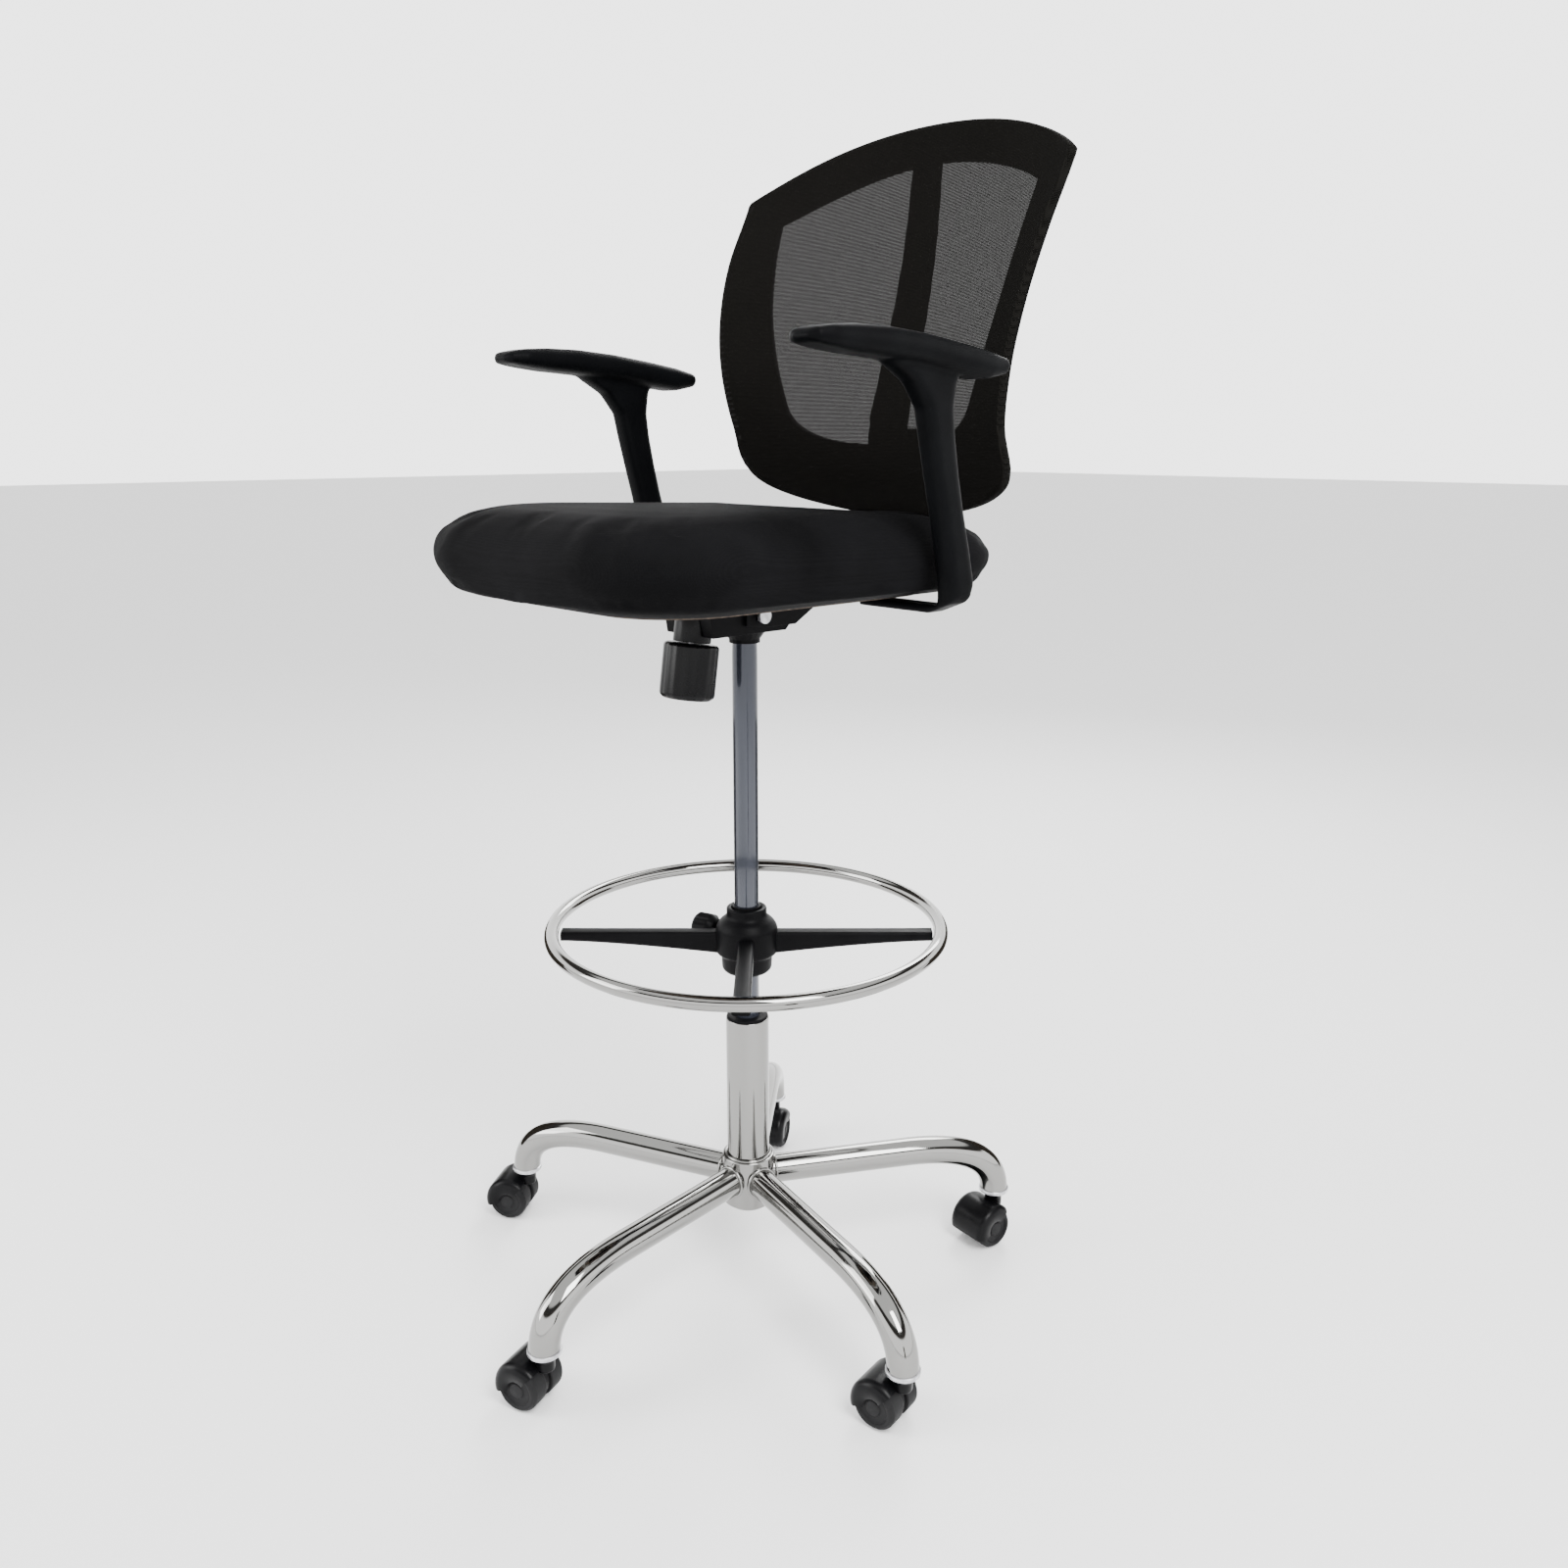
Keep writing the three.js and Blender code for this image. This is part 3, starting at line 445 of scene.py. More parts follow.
def seat_cloth():
    """Plain weave: sets of yarns that rise in turn, with slubs and a soft mottling."""
    dark, light = (0.0012, 0.0012, 0.0014), (0.0048, 0.0048, 0.0054)
    paint = Paint("seat_weave", dark, 0.85, Specular_IOR_Level=0.035)
    across, along, upward = (paint.wave(SEAT_YARNS, axis, 0.4) for axis in "XYZ")
    crossed = paint.math("MULTIPLY", across, along)
    weave = paint.math("ADD", crossed, paint.math("MULTIPLY", upward, 0.6))
    slub = paint.noise(900, 3)
    height = paint.math("ADD", weave, paint.math("MULTIPLY", slub, 0.6))
    mottle = paint.math("MULTIPLY", paint.noise(9, 5), 0.8)
    tone = paint.math("ADD", paint.math("MULTIPLY", height, 0.12), mottle)
    paint.colors(tone, dark, light, 0.3, 0.75)
    paint.rough(slub, 0.7, 0.85)
    return paint.bump(height, 0.0003, 0.2).material


def back_cloth():
    """Spacer mesh: rows of small see-through openings between the yarns."""
    dark, light = (0.0018, 0.0017, 0.0015), (0.005, 0.0047, 0.0042)
    paint = Paint("back_knit", dark, 0.9, Specular_IOR_Level=0.02)
    holes = paint.math("MULTIPLY", paint.wave(260, "X"), paint.wave(210, "Z"))
    height = paint.math("SUBTRACT", 1.0, holes)
    mottle = paint.math("MULTIPLY", paint.noise(14, 4), 0.25)
    tone = paint.math("ADD", paint.math("MULTIPLY", height, 0.75), mottle)
    paint.colors(tone, dark, light, 0.25, 0.85)
    open_part = paint.math("GREATER_THAN", holes, HOLE_EDGE)
    paint.link(paint.spread(open_part, 1.0, HOLE_COVER), paint.shader.inputs["Alpha"])
    return paint.bump(height, 0.0005, 0.6).material


def board_paint():
    dark, light = (0.035, 0.024, 0.017), (0.09, 0.062, 0.042)
    paint = Paint("stained_board", dark, 0.7)
    paint.colors(paint.noise(12, 8, (1, 14, 1)), dark, light)
    return paint.bump(paint.noise(60, 6, (1, 10, 1)), 0.0002, 0.4).material


CHROME = chrome_paint()
STEEL = steel_paint()
TUBE = tube_paint()
BLACK_STEEL = moulded_paint("powder_coat", SATIN_TONES, (0.38, 0.5), 2200, 0.0001, 0.05)
BLACK_PLASTIC = moulded_paint("black_moulding", SATIN_TONES, (0.36, 0.5), 1400, 0.0001, 0.05)
GLOSS_PLASTIC = moulded_paint("gloss_moulding", GLOSS_TONES, (0.22, 0.32), 2600, 0.00003, 0.12)
HOOD_PLASTIC = moulded_paint("caster_moulding", HOOD_TONES, (0.24, 0.36), 2000, 0.00005)
TREAD = moulded_paint("wheel_nylon", TREAD_TONES, (0.45, 0.65), 900, 0.0002)
ARM_PLASTIC = moulded_paint("arm_moulding", ARM_TONES, (0.42, 0.55), 1100, 0.0002, 0.03)
FRAME_PLASTIC = moulded_paint("frame_moulding", FRAME_TONES, (0.5, 0.65), 1200, 0.0002, 0.03)
NYLON = moulded_paint("black_nylon", NYLON_TONES, (0.4, 0.5), 1400, 0.0001, 0.05)
SEAT_CLOTH = seat_cloth()
BACK_CLOTH = back_cloth()
BOARD = board_paint()
CARD = Paint("studio_card", (0.03, 0.025, 0.02), 0.9, Specular_IOR_Level=0.0).material


# ---------- base ----------


def leg_path():
    """A leg's centre line along +X: level, then bent down to the caster's stem."""
    path = [Vector((x, 0, LEG_HEIGHT)) for x in (24, 60, 130, LEG_BEND_START)]
    corner = (LEG_REACH, 0, LEG_HEIGHT)
    return path + bezier(path[-1], corner, (LEG_REACH, 0, LEG_END - 2), 28)


def leg_shape():
    """A bent tube with a weld bead where it meets the hub."""
    path = []
    for a in np.linspace(0, 2 * math.pi, 41):
        y, up = LEG_BEAD_RADIUS * math.cos(a), LEG_BEAD_RADIUS * math.sin(a)
        path.append(Vector((HUB_RADIUS + 0.5, y, LEG_HEIGHT + up)))
    bead = swept(path, circle(1.7, 10), capped=False)
    return swept(leg_path(), circle(LEG_RADIUS, 40)).join(bead)


def hub_shape():
    """The sleeve round the column, with a weld bead on its upper edge."""
    bore = COLUMN_RADIUS + 0.4
    corners = [(bore, HUB_BOTTOM), (HUB_RADIUS, HUB_BOTTOM), (HUB_RADIUS, HUB_TOP), (bore, HUB_TOP)]
    path = []
    for a in np.linspace(0, 2 * math.pi, 65):
        x, y = HUB_BEAD_RADIUS * math.cos(a), HUB_BEAD_RADIUS * math.sin(a)
        path.append(Vector((x, y, HUB_TOP + 0.6)))
    bead = swept(path, circle(1.6, 10), capped=False)
    return turned(rounded(corners + corners[:1], 1.8), 96).join(bead)


def add_base():
    leg = leg_shape()
    bottom, top, edge = LEG_END - 3.4, LEG_END + 1.4, LEG_RADIUS + 1.4
    corners = [(LEG_RADIUS - 6, bottom), (edge, bottom), (edge, top), (LEG_RADIUS, top + 0.4)]
    lip = turned(rounded(corners, 1.2), 48)
    lips = Shape()
    for i, angle in enumerate(LEG_ANGLES):
        shape = Shape().join(leg, about_z(angle))
        piece(f"leg_{i + 1}_tube", shape, CHROME, "base", [f"leg_{i + 1}"])
        lips.join(lip, about_z(angle) @ Matrix.Translation((LEG_REACH, 0, 0)))
    piece("leg_end_lips", lips, STEEL, "base")
    piece("hub_sleeve", hub_shape(), CHROME, "base", ["base_hub"])


# ---------- casters ----------


def hood_ring(angle, radius, half, corner):
    """One section of the hood's skin at an angle round the wheels' axis."""
    section = [(0.0, radius)]
    for k in range(9):
        t = k / 8 * math.pi / 2
        u = half - corner + corner * math.sin(t)
        section.append((u, radius - corner + corner * math.cos(t)))
    section.append((half, max(radius - HOOD_SKIRT, 10.0)))
    ring = []
    for u, r in [(-u, r) for u, r in section[:0:-1]] + section:
        x, z = CASTER_TRAIL + r * math.cos(angle), WHEEL_RADIUS + r * math.sin(angle)
        ring.append((x, u, z))
    return ring


def caster_hood():
    """The dome over the two wheels, in the caster's own frame: stem on Z, trail to +X."""
    steps = 28
    shell = []
    for k in range(steps + 1):
        a = math.radians(HOOD_START + HOOD_SWEEP * k / steps)
        shell.append(hood_ring(a, 30.0, 28.0, 9.0) + hood_ring(a, 27.0, 26.2, 6.5)[::-1])
    web_path = [Vector((CASTER_TRAIL, y, WHEEL_RADIUS)) for y in (-3.4, 3.4)]
    web = swept(web_path, circle(22, 40))
    boss = [(5.9, 43.6), (10.5, 43.6), (10.5, 55), (12.5, 59.8), (5.9, 59.8)]
    return lofted(shell).join(web).join(turned(rounded(boss, 1.5), 32))


def wheel():
    """One wheel about Z, its outer face upwards at 26 mm from the caster's middle."""
    inner, outer, tread = 4.1, 26.1, WHEEL_RADIUS - 0.1
    corners = [(3.4, inner), (21, inner), (tread, inner + 0.6), (tread, outer - 4), (21.5, outer)]
    corners += [(18, outer), (17, outer - 2.4), (9, outer - 2.4), (8, outer - 0.6)]
    corners.append((0.01, outer - 0.1))
    return turned(rounded(corners, 1.4, 5), 48)


def add_casters():
    hood, disc = caster_hood(), wheel()
    hub = Matrix.Translation((CASTER_TRAIL, 0, WHEEL_RADIUS))
    for i, (leg, trail) in enumerate(zip(LEG_ANGLES, CASTER_ANGLES)):
        turn = math.radians(leg)
        spot = about_z(trail, LEG_REACH * math.cos(turn), LEG_REACH * math.sin(turn))
        prefix = f"caster_{i + 1}"
        shape = Shape().join(hood, spot)
        piece(f"{prefix}_shell", shape, HOOD_PLASTIC, prefix, [f"{prefix}_hood"])
        for side, tip in (("l", -90), ("r", 90)):
            upright = hub @ Matrix.Rotation(math.radians(tip), 4, "X")
            name, body, node = f"{prefix}_disc_{side}", f"wheel_{i + 1}_{side}", f"{prefix}_wheel_{side}"
            shape = Shape().join(disc, spot @ upright)
            piece(name, shape, TREAD, body, [node])


# ---------- column, tube and foot ring ----------


def add_lift():
    wall, floor = COLUMN_RADIUS - 2, COLUMN_BOTTOM + 6
    column = [(5.4, COLUMN_BOTTOM), (COLUMN_RADIUS - 1, COLUMN_BOTTOM), (COLUMN_RADIUS, COLUMN_BOTTOM + 2)]
    column += [(COLUMN_RADIUS, COLUMN_TOP), (wall, COLUMN_TOP), (wall, floor), (5.4, floor)]
    shell = turned(rounded(column + column[:1], 0.8), 96)
    piece("column_shell", shell, CHROME, "base", ["outer_column"])

    bore, top = TUBE_RADIUS + 0.35, COLUMN_TOP + 3.2
    bush = [(bore, 239), (22.7, 239), (22.7, COLUMN_TOP + 0.4), (24.3, COLUMN_TOP + 0.4)]
    bush += [(23.6, top), (bore, top), (bore, 239)]
    shape = turned(rounded(bush, 0.5), 72)
    piece("column_bush", shape, BLACK_PLASTIC, "base", ["guide_bush"])

    tube = [(5.3, TUBE_BOTTOM), (TUBE_RADIUS, TUBE_BOTTOM), (TUBE_RADIUS, 760), (13, TUBE_TOP)]
    tube += [(4.5, TUBE_TOP), (4.5, 705), (12, 705), (12, 276), (5.3, 276), (5.3, TUBE_BOTTOM)]
    shape = turned(rounded(tube, 0.6), 72)
    piece("slate_lift_tube", shape, TUBE, "lift", ["lift_tube"])


def spoke():
    """A tapering arm with rounded edges, its top level, along +X."""
    start, reach = 21, RING_RADIUS - HOOP_RADIUS - 0.6 - 21
    rings = []
    for k in range(15):
        t = k / 14
        depth = 10.5 + 16.5 * (1 - t) ** 1.4
        width = 18 + 1.5 * t**6
        middle = SPOKE_TOP - depth / 2
        section = rounded_box(width, depth, 3.2, 3)
        rings.append([(start + reach * t, u, middle + v) for u, v in section])
    return lofted(rings)


def ring_spider():
    """The foot ring's hub with its four arms."""
    corners = [(17, 392), (24, 392), (28.5, 396), (29.5, 413), (35.5, 416), (35.5, 446)]
    corners += [(31, 453.5), (23, 459.5), (23, 470), (17, 470), (17, 392)]
    shape = turned(rounded(corners, 3.5, 5), 80)
    for k in range(4):
        shape.join(spoke(), about_z(SPOKE_START + 90 * k))
    return shape


def add_foot_ring():
    section = circle(HOOP_RADIUS, 24) + [(HOOP_RADIUS, 0)]
    hoop = turned([(RING_RADIUS + r, RING_HEIGHT + z) for r, z in section], 180)
    piece("foot_hoop", hoop, CHROME, "foot_ring", ["foot_ring_tube"], 60)
    piece("ring_spider", ring_spider(), BLACK_PLASTIC, "foot_ring", ["ring_hub"])
    profile = [(0.01, 19), (5, 19), (5, 39.5), (11, 41.5)]
    profile += [(17, 48.5), (17, 64.5), (14, 68.5), (0.01, 68.9)]
    outward = about_z(CLAMP_TURN, 0, 0, CLAMP_HEIGHT) @ Matrix.Rotation(math.pi / 2, 4, "Y")
    knob = Shape().join(turned(rounded(profile, 1.8), 64, 8, 1.8), outward)
    piece("clamp_grip", knob, BLACK_PLASTIC, "clamp_knob", ["clamp_knob"])


# ---------- mechanism ----------


def bevelled(made, width, segments, angle):
    limit = math.radians(angle)
    bevel = {"width": width * MM, "segments": segments, "limit_method": "ANGLE"}
    modify(made, "BEVEL", angle_limit=limit, **bevel)
    apply_modifiers(made)
    shade(made.data, 35)
    return made


def prism_y(outline, y0, y1):
    """An outline in X-Z between two planes across Y."""
    count = len(outline)
    points = [(x, y, z) for y in (y0, y1) for x, z in outline]
    sides = [[i, (i + 1) % count, (i + 1) % count + count, i + count] for i in range(count)]
    ends = [list(range(count)), [i + count for i in range(count)]]
    return Shape().add(points, sides + ends)


def bolt_head(radius):
    corners = [(0.01, 0), (radius, 0), (radius, 2.2), (radius * 0.6, 3.6), (0.01, 4.0)]
    return turned(rounded(corners, 1.0), 32)


def add_mechanism():
    lean = Matrix.Translation(KNOB_PIVOT) @ Matrix.Rotation(KNOB_LEAN, 4, "X")
    cup = [(16.6, -31.8), (20, -31.8), (20, -7), (18, -5), (8, -5), (8, -7), (16.6, -7), (16.6, -31.8)]
    shape = Shape().join(turned(rounded(cup, 1.0), 64), lean)
    piece("cup_gloss", shape, GLOSS_PLASTIC, "lift", ["spring_cup"])
    grip = [(4.3, -33), (27, -33), (29.5, -35.5), (29.5, -88), (25.5, -92), (0.01, -92)]
    shape = Shape().join(turned(rounded(grip, 3.0, 5), 96, 16, 0.7), lean)
    piece("tension_grip", shape, GLOSS_PLASTIC, "tension_knob", ["tension_knob"])
    heads = Shape()
    for side in (-1, 1):
        for y, z, radius in CHEEK_BOLTS:
            outward = Matrix.Rotation(side * math.pi / 2, 4, "Y")
            place = Matrix.Translation((side * CHEEK_FACE, y, z))
            heads.join(bolt_head(radius), place @ outward)
    piece("cheek_bolts", heads, STEEL, "seat")


def lever_paddle():
    """The lever's flat grip, widest at its middle, along -X from the rod's end."""
    rings = []
    for k in range(13):
        t = k / 12
        swell = math.sin(math.pi * (0.06 + 0.88 * t)) ** 0.45
        section = rounded_box(2 * 19.5 * swell, 2 * 6.8 * (0.75 + 0.25 * swell), 5, 4)
        rings.append([(PADDLE_START - PADDLE_LENGTH * t, u, v) for u, v in section])
    return lofted(rings)


def add_lever():
    droop = Matrix.Translation(LEVER_PIVOT) @ Matrix.Rotation(LEVER_DROOP, 4, "Y")
    rod = swept([Vector((42, 0, 0)), Vector((-180, 0, 0))], circle(4, 24))
    shape = Shape().join(rod, droop)
    piece("lever_bar", shape, BLACK_STEEL, "lever", ["lever_rod"])
    shape = Shape().join(lever_paddle(), droop)
    piece("lever_paddle", shape, BLACK_PLASTIC, "lever", ["lever_grip"])


# ---------- seat ----------


def seat_outline(inset, steps=14):
    """The seat's rounded plan, anticlockwise, as [x, y] pairs."""
    w = SEAT_HIGH.x - inset
    y0, y1 = SEAT_LOW.y + inset, SEAT_HIGH.y - inset
    f, r = SEAT_FRONT_CORNER - inset / 2, SEAT_REAR_CORNER - inset / 2
    corners = [(w - f, y0 + f, f, -90), (w - r, y1 - r, r, 0)]
    corners += [(r - w, y1 - r, r, 90), (f - w, y0 + f, f, 180)]
    made = []
    for cx, cy, radius, start in corners:
        for k in range(steps + 1):
            a = math.radians(start + 90 * k / steps)
            made.append((cx + radius * math.cos(a), cy + radius * math.sin(a)))
    return made


def seat_drop(y, share):
    """How far the cushion's upper part falls towards the back."""
    return SEAT_REAR_DROP * max(0.0, y) / SEAT_HIGH.y * share


def seat_shape(margin):
    """The cushion before it is filled: a flat bottom, full sides and a soft upper edge."""
    levels = [(11, 66), (1, 64), (0.4, 60), (4.5, 38), (11, 20), (21, 7), (34, 1)]
    levels += [(46, 0), (59, 3), (69, 9), (77, 20), (82, 35), (85, 58), (86, 95)]
    rings = []
    for rise, inset in levels:
        ring = seat_outline(inset + margin)
        rings.append([(x, y, SEAT_LOW.z + rise - seat_drop(y, rise / 87)) for x, y in ring])
    return lofted(rings)


def inflate(made, held_below):
    """Runs a pressurised cloth simulation on a closed mesh that is held at its bottom."""
    group = made.vertex_groups.new(name="held")
    held = [v.index for v in made.data.vertices if v.co.z < held_below]
    group.add(held, 1.0, "REPLACE")
    cloth = modify(made, "CLOTH")
    cloth.settings.vertex_group_mass = "held"
    cloth.settings.use_pressure = True
    cloth.settings.uniform_pressure_force = 4
    cloth.settings.quality = 4
    cloth.settings.effector_weights.gravity = 0
    cloth.collision_settings.use_collision = False
    scene = bpy.context.scene
    for step in range(1, PUFF_STEPS + 1):
        scene.frame_set(step)
    apply_modifiers(made)
    scene.frame_set(1)


def puff(made, held_below, cap):
    """Swells a closed mesh like filled upholstery, and caps how far it moves."""
    modify(made, "REMESH", mode="VOXEL", voxel_size=PUFF_VOXEL * MM)
    apply_modifiers(made)
    rest = np.array([v.co for v in made.data.vertices])
    inflate(made, held_below)
    move = np.array([v.co for v in made.data.vertices]) - rest
    length = np.linalg.norm(move, axis=1, keepdims=True)
    move *= np.minimum(1.0, cap * MM / np.maximum(length, 1e-9))
    made.data.vertices.foreach_set("co", (rest + move).astype(np.float32).ravel())


def add_seat():
    cushion = make("seat_upholstery", seat_shape(1.0), 60)
    floor = (SEAT_LOW.z + 12.5) * MM
    puff(cushion, floor, PUFF_CAP)
    modify(cushion, "SUBSURF", levels=1, render_levels=1)
    apply_modifiers(cushion)
    shade(cushion.data, 180)
    finish_piece(cushion, SEAT_CLOTH, "seat", ["seat_cushion"])


# ---------- back ----------


def station_curve(column):
    """A smooth curve through one column of the back's stations."""
    zs = [s[0] for s in BACK_STATIONS]
    vs = [s[column] for s in BACK_STATIONS]
    last = len(zs) - 1

    def value(z):
        i = max(k for k in range(last) if k == 0 or z > zs[k])
        p = [min(max(k, 0), last) for k in (i - 1, i, i + 1, i + 2)]
        span = zs[p[2]] - zs[p[1]]
        t = (z - zs[p[1]]) / span
        s1 = (vs[p[2]] - vs[p[0]]) / (zs[p[2]] - zs[p[0]]) * span
        s2 = (vs[p[3]] - vs[p[1]]) / (zs[p[3]] - zs[p[1]]) * span
        a = 2 * t**3 - 3 * t**2 + 1
        return a * vs[p[1]] + (t**3 - 2 * t**2 + t) * s1 + (1 - a) * vs[p[2]] + (t**3 - t**2) * s2

    return value


back_half, back_edge, back_middle = (station_curve(c) for c in (1, 2, 3))


def back_depth(x, z):
    """The back's middle surface: curved from side to side and along its height."""
    share = min(1.0, (x / BACK_HALF_WIDTH) ** 2)
    return back_middle(z) + (back_edge(z) - back_middle(z)) * share


def flat_bezier(p0, p1, p2, steps):
    """A quadratic curve's [x, z] pairs, without its first one."""
    points = bezier((*p0, 0), (*p1, 0), (*p2, 0), steps)
    return [(p.x, p.y) for p in points]


def back_outline():
    """The back's outer edge, anticlockwise from the bottom left, as [x, z] pairs."""
    foot, shoulder = (64, BACK_BOTTOM), (back_half(BACK_SHOULDER), BACK_SHOULDER)
    right = [foot] + flat_bezier(foot, (178, BACK_BOTTOM + 15), shoulder, 12)
    side = np.linspace(BACK_SHOULDER, BACK_CORNER - 8, 30)[1:]
    right += [(back_half(z), z) for z in side]
    corner = back_half(BACK_CORNER)
    right += [(corner, BACK_CORNER - 3), (corner - 1.5, BACK_CORNER + 1)]
    right += flat_bezier((corner - 4, BACK_CORNER + 3), (140, BACK_TOP), (0, BACK_TOP), 24)
    return right + [(-x, z) for x, z in right[-2::-1]]


def window_outline():
    """The opening on the +X side of the spine."""
    foot, head = (25, 979), (17, 1287)
    low, side, high, corner = (64, 983), (146, 1026), (180, 1140), (194, 1240)
    made = [foot, low]
    made += flat_bezier(low, (134, 990), side, 10)
    made += flat_bezier(side, (168, 1086), high, 10)
    made += flat_bezier(high, (190, 1195), corner, 8)
    made += flat_bezier(corner, (110, 1282), head, 10)
    rise, lean = head[1] - foot[1], foot[0] - head[0]
    return made + [(head[0] + lean * k / 12, head[1] - rise * k / 12) for k in range(1, 12)]


def inset_loop(loop, amount):
    """The loop moved inwards by an amount; the loop runs anticlockwise."""
    count = len(loop)
    made = []
    for i in range(count):
        (x0, z0), (x1, z1) = loop[i - 1], loop[(i + 1) % count]
        along = Vector((x1 - x0, z1 - z0)).normalized()
        made.append((loop[i][0] - along.y * amount, loop[i][1] + along.x * amount))
    return made


def inside(x, z, loop):
    hit = False
    for (x0, z0), (x1, z1) in zip(loop, loop[1:] + loop[:1]):
        if (z0 > z) != (z1 > z) and x < (x1 - x0) * (z - z0) / (z1 - z0) + x0:
            hit = not hit
    return hit


def panel(outline, holes, spacing):
    """A flat triangulated panel inside a loop and outside its holes: points and faces in X-Z."""

    def solid(x, z):
        return inside(x, z, outline) and not any(inside(x, z, hole) for hole in holes)

    points, edges = [], []
    for loop in [outline, *holes]:
        start = len(points)
        points += [Vector(p) for p in loop]
        edges += [(start + i, start + (i + 1) % len(loop)) for i in range(len(loop))]
    near = [Vector(p) for p in points]
    for i, x in enumerate(np.arange(-BACK_HALF_WIDTH, BACK_HALF_WIDTH + 1, spacing)):
        for z in np.arange(BACK_BOTTOM, BACK_TOP, spacing):
            spot = Vector((x, z + (i % 2) * spacing / 2))
            clear = min((spot - p).length_squared for p in near) > (0.55 * spacing) ** 2
            if clear and solid(*spot):
                points.append(spot)
    out, _, faces, *_ = delaunay_2d_cdt(points, edges, [], 0, 1e-4)
    kept = []
    for face in faces:
        middle = sum((out[i] for i in face), Vector((0, 0))) / len(face)
        if solid(*middle):
            kept.append(list(face))
    return out, kept


def add_back_shell(outline):
    """The moulded frame with its spine and its two openings."""
    window = window_outline()
    mirrored = [(-x, z) for x, z in window[::-1]]
    flat, faces = panel(inset_loop(outline, 3.0), [window, mirrored], PANEL_SPACING)
    shape = Shape().add([(p.x, back_depth(p.x, p.y), p.y) for p in flat], faces)
    shell = make("back_shell", shape)
    modify(shell, "SOLIDIFY", thickness=(BACK_THICKNESS - 2.4) * MM, offset=0)
    apply_modifiers(shell)
    bevelled(shell, 4.0, 4, 50)
    finish_piece(shell, FRAME_PLASTIC, "seat", ["back_frame"])


def add_back_cover(outline):
    """The mesh: one layer over the frame's front, wrapped round its edge to the rear."""
    half = BACK_THICKNESS / 2
    front = half + 1.1
    flat, faces = panel(outline, [], PANEL_SPACING)
    shape = Shape().add([(p.x, back_depth(p.x, p.y) - front, p.y) for p in flat], faces)
    wrap = [(0, -front), (-0.6, 3 - front), (-0.4, 3), (1.5, half + 0.6), (7, half + 0.9)]
    rings = []
    for inset, depth in wrap:
        pairs = zip(inset_loop(outline, inset), outline)
        rings.append([(x, back_depth(x0, z0) + depth, z) for (x, z), (x0, z0) in pairs])
    shape.join(lofted(rings, capped=False))
    cloth = make("back_mesh_cover", shape, 180)
    shade(cloth.data, 70)
    finish_piece(cloth, BACK_CLOTH, "seat", ["back_mesh"])


def add_bracket():
    """The J-shaped flat bar from under the seat up behind the back."""
    route = [(42, 818), (90, 818), (140, 818), (190, 818), (226, 820), (254, 829), (271, 846)]
    route += [(280, 870), (280, 896), (273, 920), (263, 940), (254, 958), (248, 978), (244, 999)]
    path = [Vector((0, y, z)) for y, z in route]
    smooth = [path[0]]
    for a, b, c in zip(path, path[1:], path[2:]):
        smooth += bezier((a + b) / 2, b, (b + c) / 2, 4)
    bar = swept(smooth + [path[-1]], rounded_box(12, 62, 4, 4))
    piece("back_j_bar", bar, BLACK_PLASTIC, "seat", ["back_bracket"])


# ---------- arms ----------


def arm_pad():
    """The pad: a bowed bar with soft edges, thinner at its ends."""
    stations = [(-145, 1072.5, 1071.5), (-138, 1079, 1067), (-120, 1082.5, 1064)]
    stations += [(-90, 1084.5, 1060.5), (-50, 1084.5, 1058), (0, 1081, 1054.5)]
    stations += [(50, 1075, 1047), (90, 1069, 1043), (114, 1063, 1048), (123, 1058, 1056.5)]
    rings = []
    for y, top, low in stations:
        end = min((y + 146) / 18, (124.5 - y) / 18, 1.0)
        width = ARM_WIDTH * math.sqrt(max(0.02, 1 - (1 - end) ** 2))
        height = max(top - low, 0.8)
        section = rounded_box(width, height, min(width, height) * 0.46, 4)
        rings.append([(u, y, (top + low) / 2 + v) for u, v in section])
    return lofted(rings)


def arm_post():
    """The post: a flat bar that rises from beside the seat and flares into the pad."""
    stations = [(68, 836, 30), (69, 850, 38), (60.5, 885, 37), (50.5, 922, 35), (42, 955, 36)]
    stations += [(34, 990, 38), (29.5, 1016, 41), (22, 1038, 62), (12, 1052, 92), (8, 1062, 112)]
    rings = []
    for y, z, depth in stations:
        rings.append([(u, y + v, z) for u, v in rounded_box(ARM_WIDTH / 2, depth, 9, 4)])
    return lofted(rings)


def arm_foot():
    """The foot: a flat strap that reaches inwards under the seat."""
    outline = [(-118, 820.3), (-24, 820.3), (6, 832), (9, 848), (-12, 850), (-12, 828.6), (-118, 828.6)]
    return prism_y(outline, 54, 81)


def add_arms():
    arm = arm_pad().join(arm_post()).join(arm_foot())
    for name, side in (("left", 1), ("right", -1)):
        mirror = Matrix.Translation((side * ARM_CENTRE, 0, 0)) @ Matrix.Scale(side, 4, (1, 0, 0))
        made = make(f"arm_{name}_moulding", Shape().join(arm, mirror))
        modify(made, "REMESH", mode="VOXEL", voxel_size=2.4 * MM)
        modify(made, "SMOOTH", factor=0.5, iterations=7)
        apply_modifiers(made)
        shade(made.data, 180)
        finish_piece(made, ARM_PLASTIC, "seat", [f"arm_{name}"])


# ---------- the CAD nodes that stay ----------

KEPT = {
    "thrust_bearing": STEEL,
    "retainer_clip": STEEL,
    "piston_rod": STEEL,
    "release_pin": STEEL,
    "clamp_collet": NYLON,
    "mech_housing": BLACK_STEEL,
    "tilt_axle": STEEL,
    "tension_spring": STEEL,
    "tension_bolt": STEEL,
    "seat_plate": BLACK_STEEL,
    "seat_board": BOARD,
}


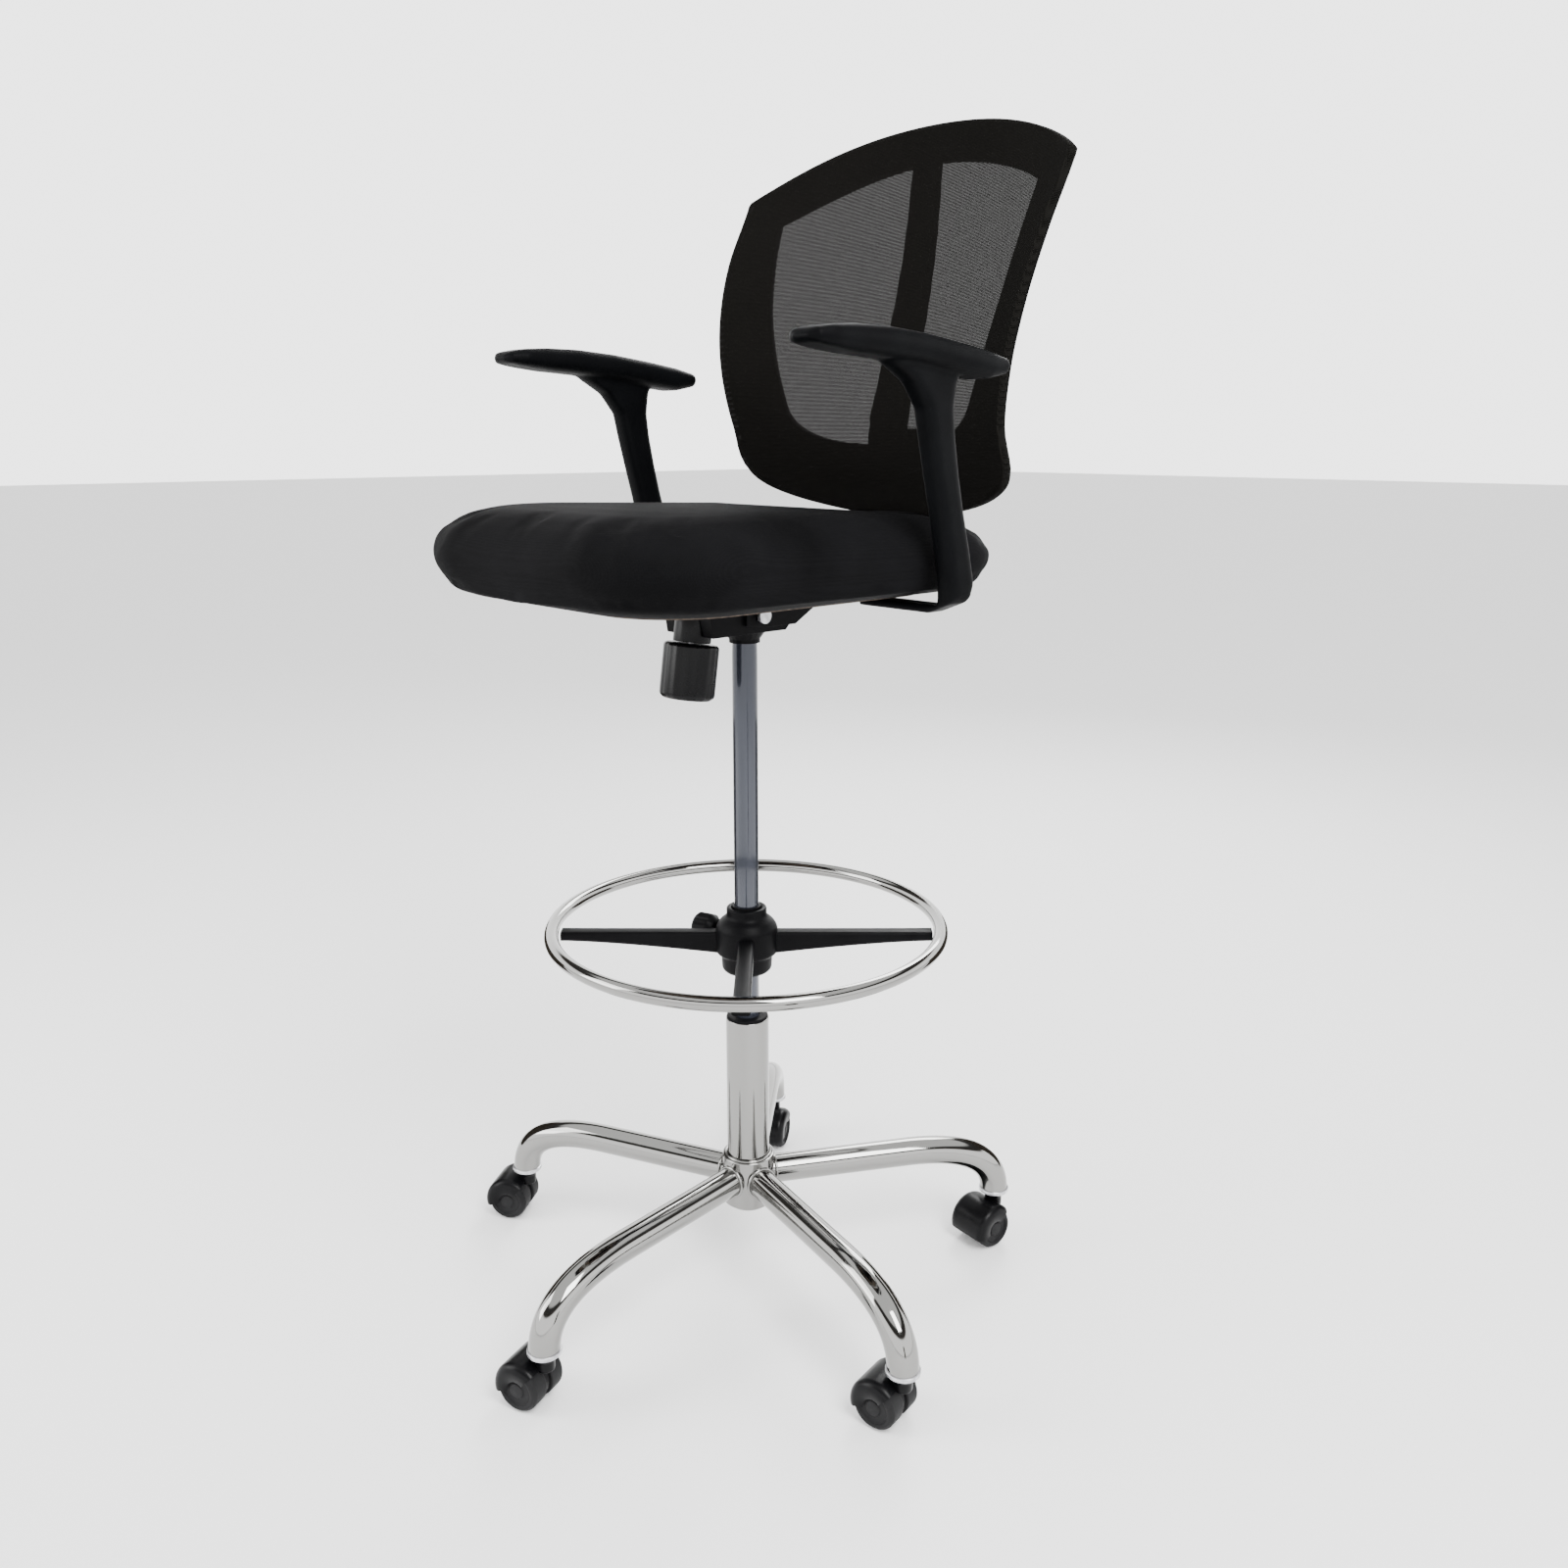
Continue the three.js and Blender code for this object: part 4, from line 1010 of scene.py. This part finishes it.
def dress_kept_nodes():
    for i in range(1, len(LEG_ANGLES) + 1):
        KEPT[f"caster_{i}_stem"] = STEEL
        KEPT[f"caster_{i}_axle"] = STEEL
    for name, material in KEPT.items():
        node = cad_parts[name]
        node.data.materials.clear()
        node.data.materials.append(material)
    bevel = {"width": 0.8 * MM, "segments": 2, "limit_method": "ANGLE"}
    for name in ("mech_housing", "seat_plate"):
        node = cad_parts[name]
        modify(node, "WELD", merge_threshold=0.02 * MM)
        modify(node, "BEVEL", angle_limit=math.radians(50), **bevel)


# ---------- studio ----------

SKY_STRENGTH = 3.4
SKY_STOPS = (
    (0.42, (1, 1, 1)),
    (0.48, (0.03, 0.026, 0.022)),
    (0.66, (0.03, 0.03, 0.03)),
    (0.72, (0.55, 0.55, 0.55)),
)
CARDS = ((84, 900, 700, 500), (-166, 900, 700, 500), (-20, 1500, 160, 420))
CAMERA_PLACE = (1087.5, -955.5, 991.6)
CAMERA_DIP = 14.61
CAMERA_TURN = 47
CAMERA_LENS = 30.726


def add_floor():
    bpy.ops.mesh.primitive_plane_add(size=60, location=(0, 0, -0.0004))
    ground = bpy.context.object
    ground.name = "studio_floor"
    paint = Paint("pale_floor", (0.92, 0.92, 0.92), 0.7, Specular_IOR_Level=0.2)
    ground.data.materials.append(paint.material)


def add_sky():
    """A white surround with a dark band high up, which the chrome mirrors."""
    world = bpy.data.worlds.new("studio")
    bpy.context.scene.world = world
    world.use_nodes = True
    tree = world.node_tree
    background = tree.nodes["Background"]
    background.inputs["Strength"].default_value = SKY_STRENGTH
    height = tree.nodes.new("ShaderNodeSeparateXYZ")
    sky = tree.nodes.new("ShaderNodeValToRGB")
    direction = tree.nodes.new("ShaderNodeTexCoord").outputs["Generated"]
    tree.links.new(direction, height.inputs[0])
    tree.links.new(height.outputs["Z"], sky.inputs["Fac"])
    tree.links.new(sky.outputs["Color"], background.inputs["Color"])
    stops = sky.color_ramp.elements
    for i, (position, color) in enumerate(SKY_STOPS):
        stop = stops[i] if i < len(stops) else stops.new(position)
        stop.position = position
        stop.color = (*color, 1)


def add_card(degrees, distance, width, height):
    """A dark standing panel that only mirrors in the chrome."""
    low, half = 20, width / 2
    corners = [(0, -half, low), (0, half, low), (0, half, height), (0, -half, height)]
    turn = math.radians(degrees)
    spot = about_z(degrees, distance * math.cos(turn), distance * math.sin(turn))
    card = make(f"studio_card_{degrees}", Shape().add(corners, [[0, 1, 2, 3]], spot))
    card.data.materials.append(CARD)
    for ray in ("camera", "diffuse", "transmission", "volume_scatter", "shadow"):
        setattr(card, "visible_" + ray, False)


def add_light(name, place, target, size, power):
    data = bpy.data.lights.new(name, "AREA")
    data.shape = "RECTANGLE"
    data.size, data.size_y = size
    data.energy = power
    lamp = bpy.data.objects.new(name, data)
    lamp.location = place
    aim = Vector(target) - Vector(place)
    lamp.rotation_euler = aim.to_track_quat("-Z", "Y").to_euler()
    bpy.context.scene.collection.objects.link(lamp)


def add_lights():
    add_light("key", (1.9, -0.4, 2.5), (0, 0, 0.7), (1.2, 1.6), 120)
    add_light("fill", (-1.6, -2.2, 1.7), (0, 0, 0.7), (1.4, 1.8), 70)
    add_light("rim", (-1.2, 2.2, 2.2), (0, 0, 0.8), (1.2, 1.2), 70)


def add_camera():
    """The photograph's view, as it was fitted to the lift tube and the column."""
    data = bpy.data.cameras.new("camera")
    data.sensor_width = 36
    data.lens = CAMERA_LENS
    data.clip_end = 100
    camera = bpy.data.objects.new("camera", data)
    camera.location = Vector(CAMERA_PLACE) * MM + AXIS
    camera.rotation_euler = (math.radians(90 - CAMERA_DIP), 0, math.radians(CAMERA_TURN))
    bpy.context.scene.collection.objects.link(camera)
    bpy.context.scene.camera = camera


add_camera()
add_floor()
add_sky()
for card in CARDS:
    add_card(*card)
add_lights()
add_base()
add_casters()
add_lift()
add_foot_ring()
add_mechanism()
add_lever()
add_seat()
add_back_shell(back_outline())
add_back_cover(back_outline())
add_bracket()
add_arms()
dress_kept_nodes()
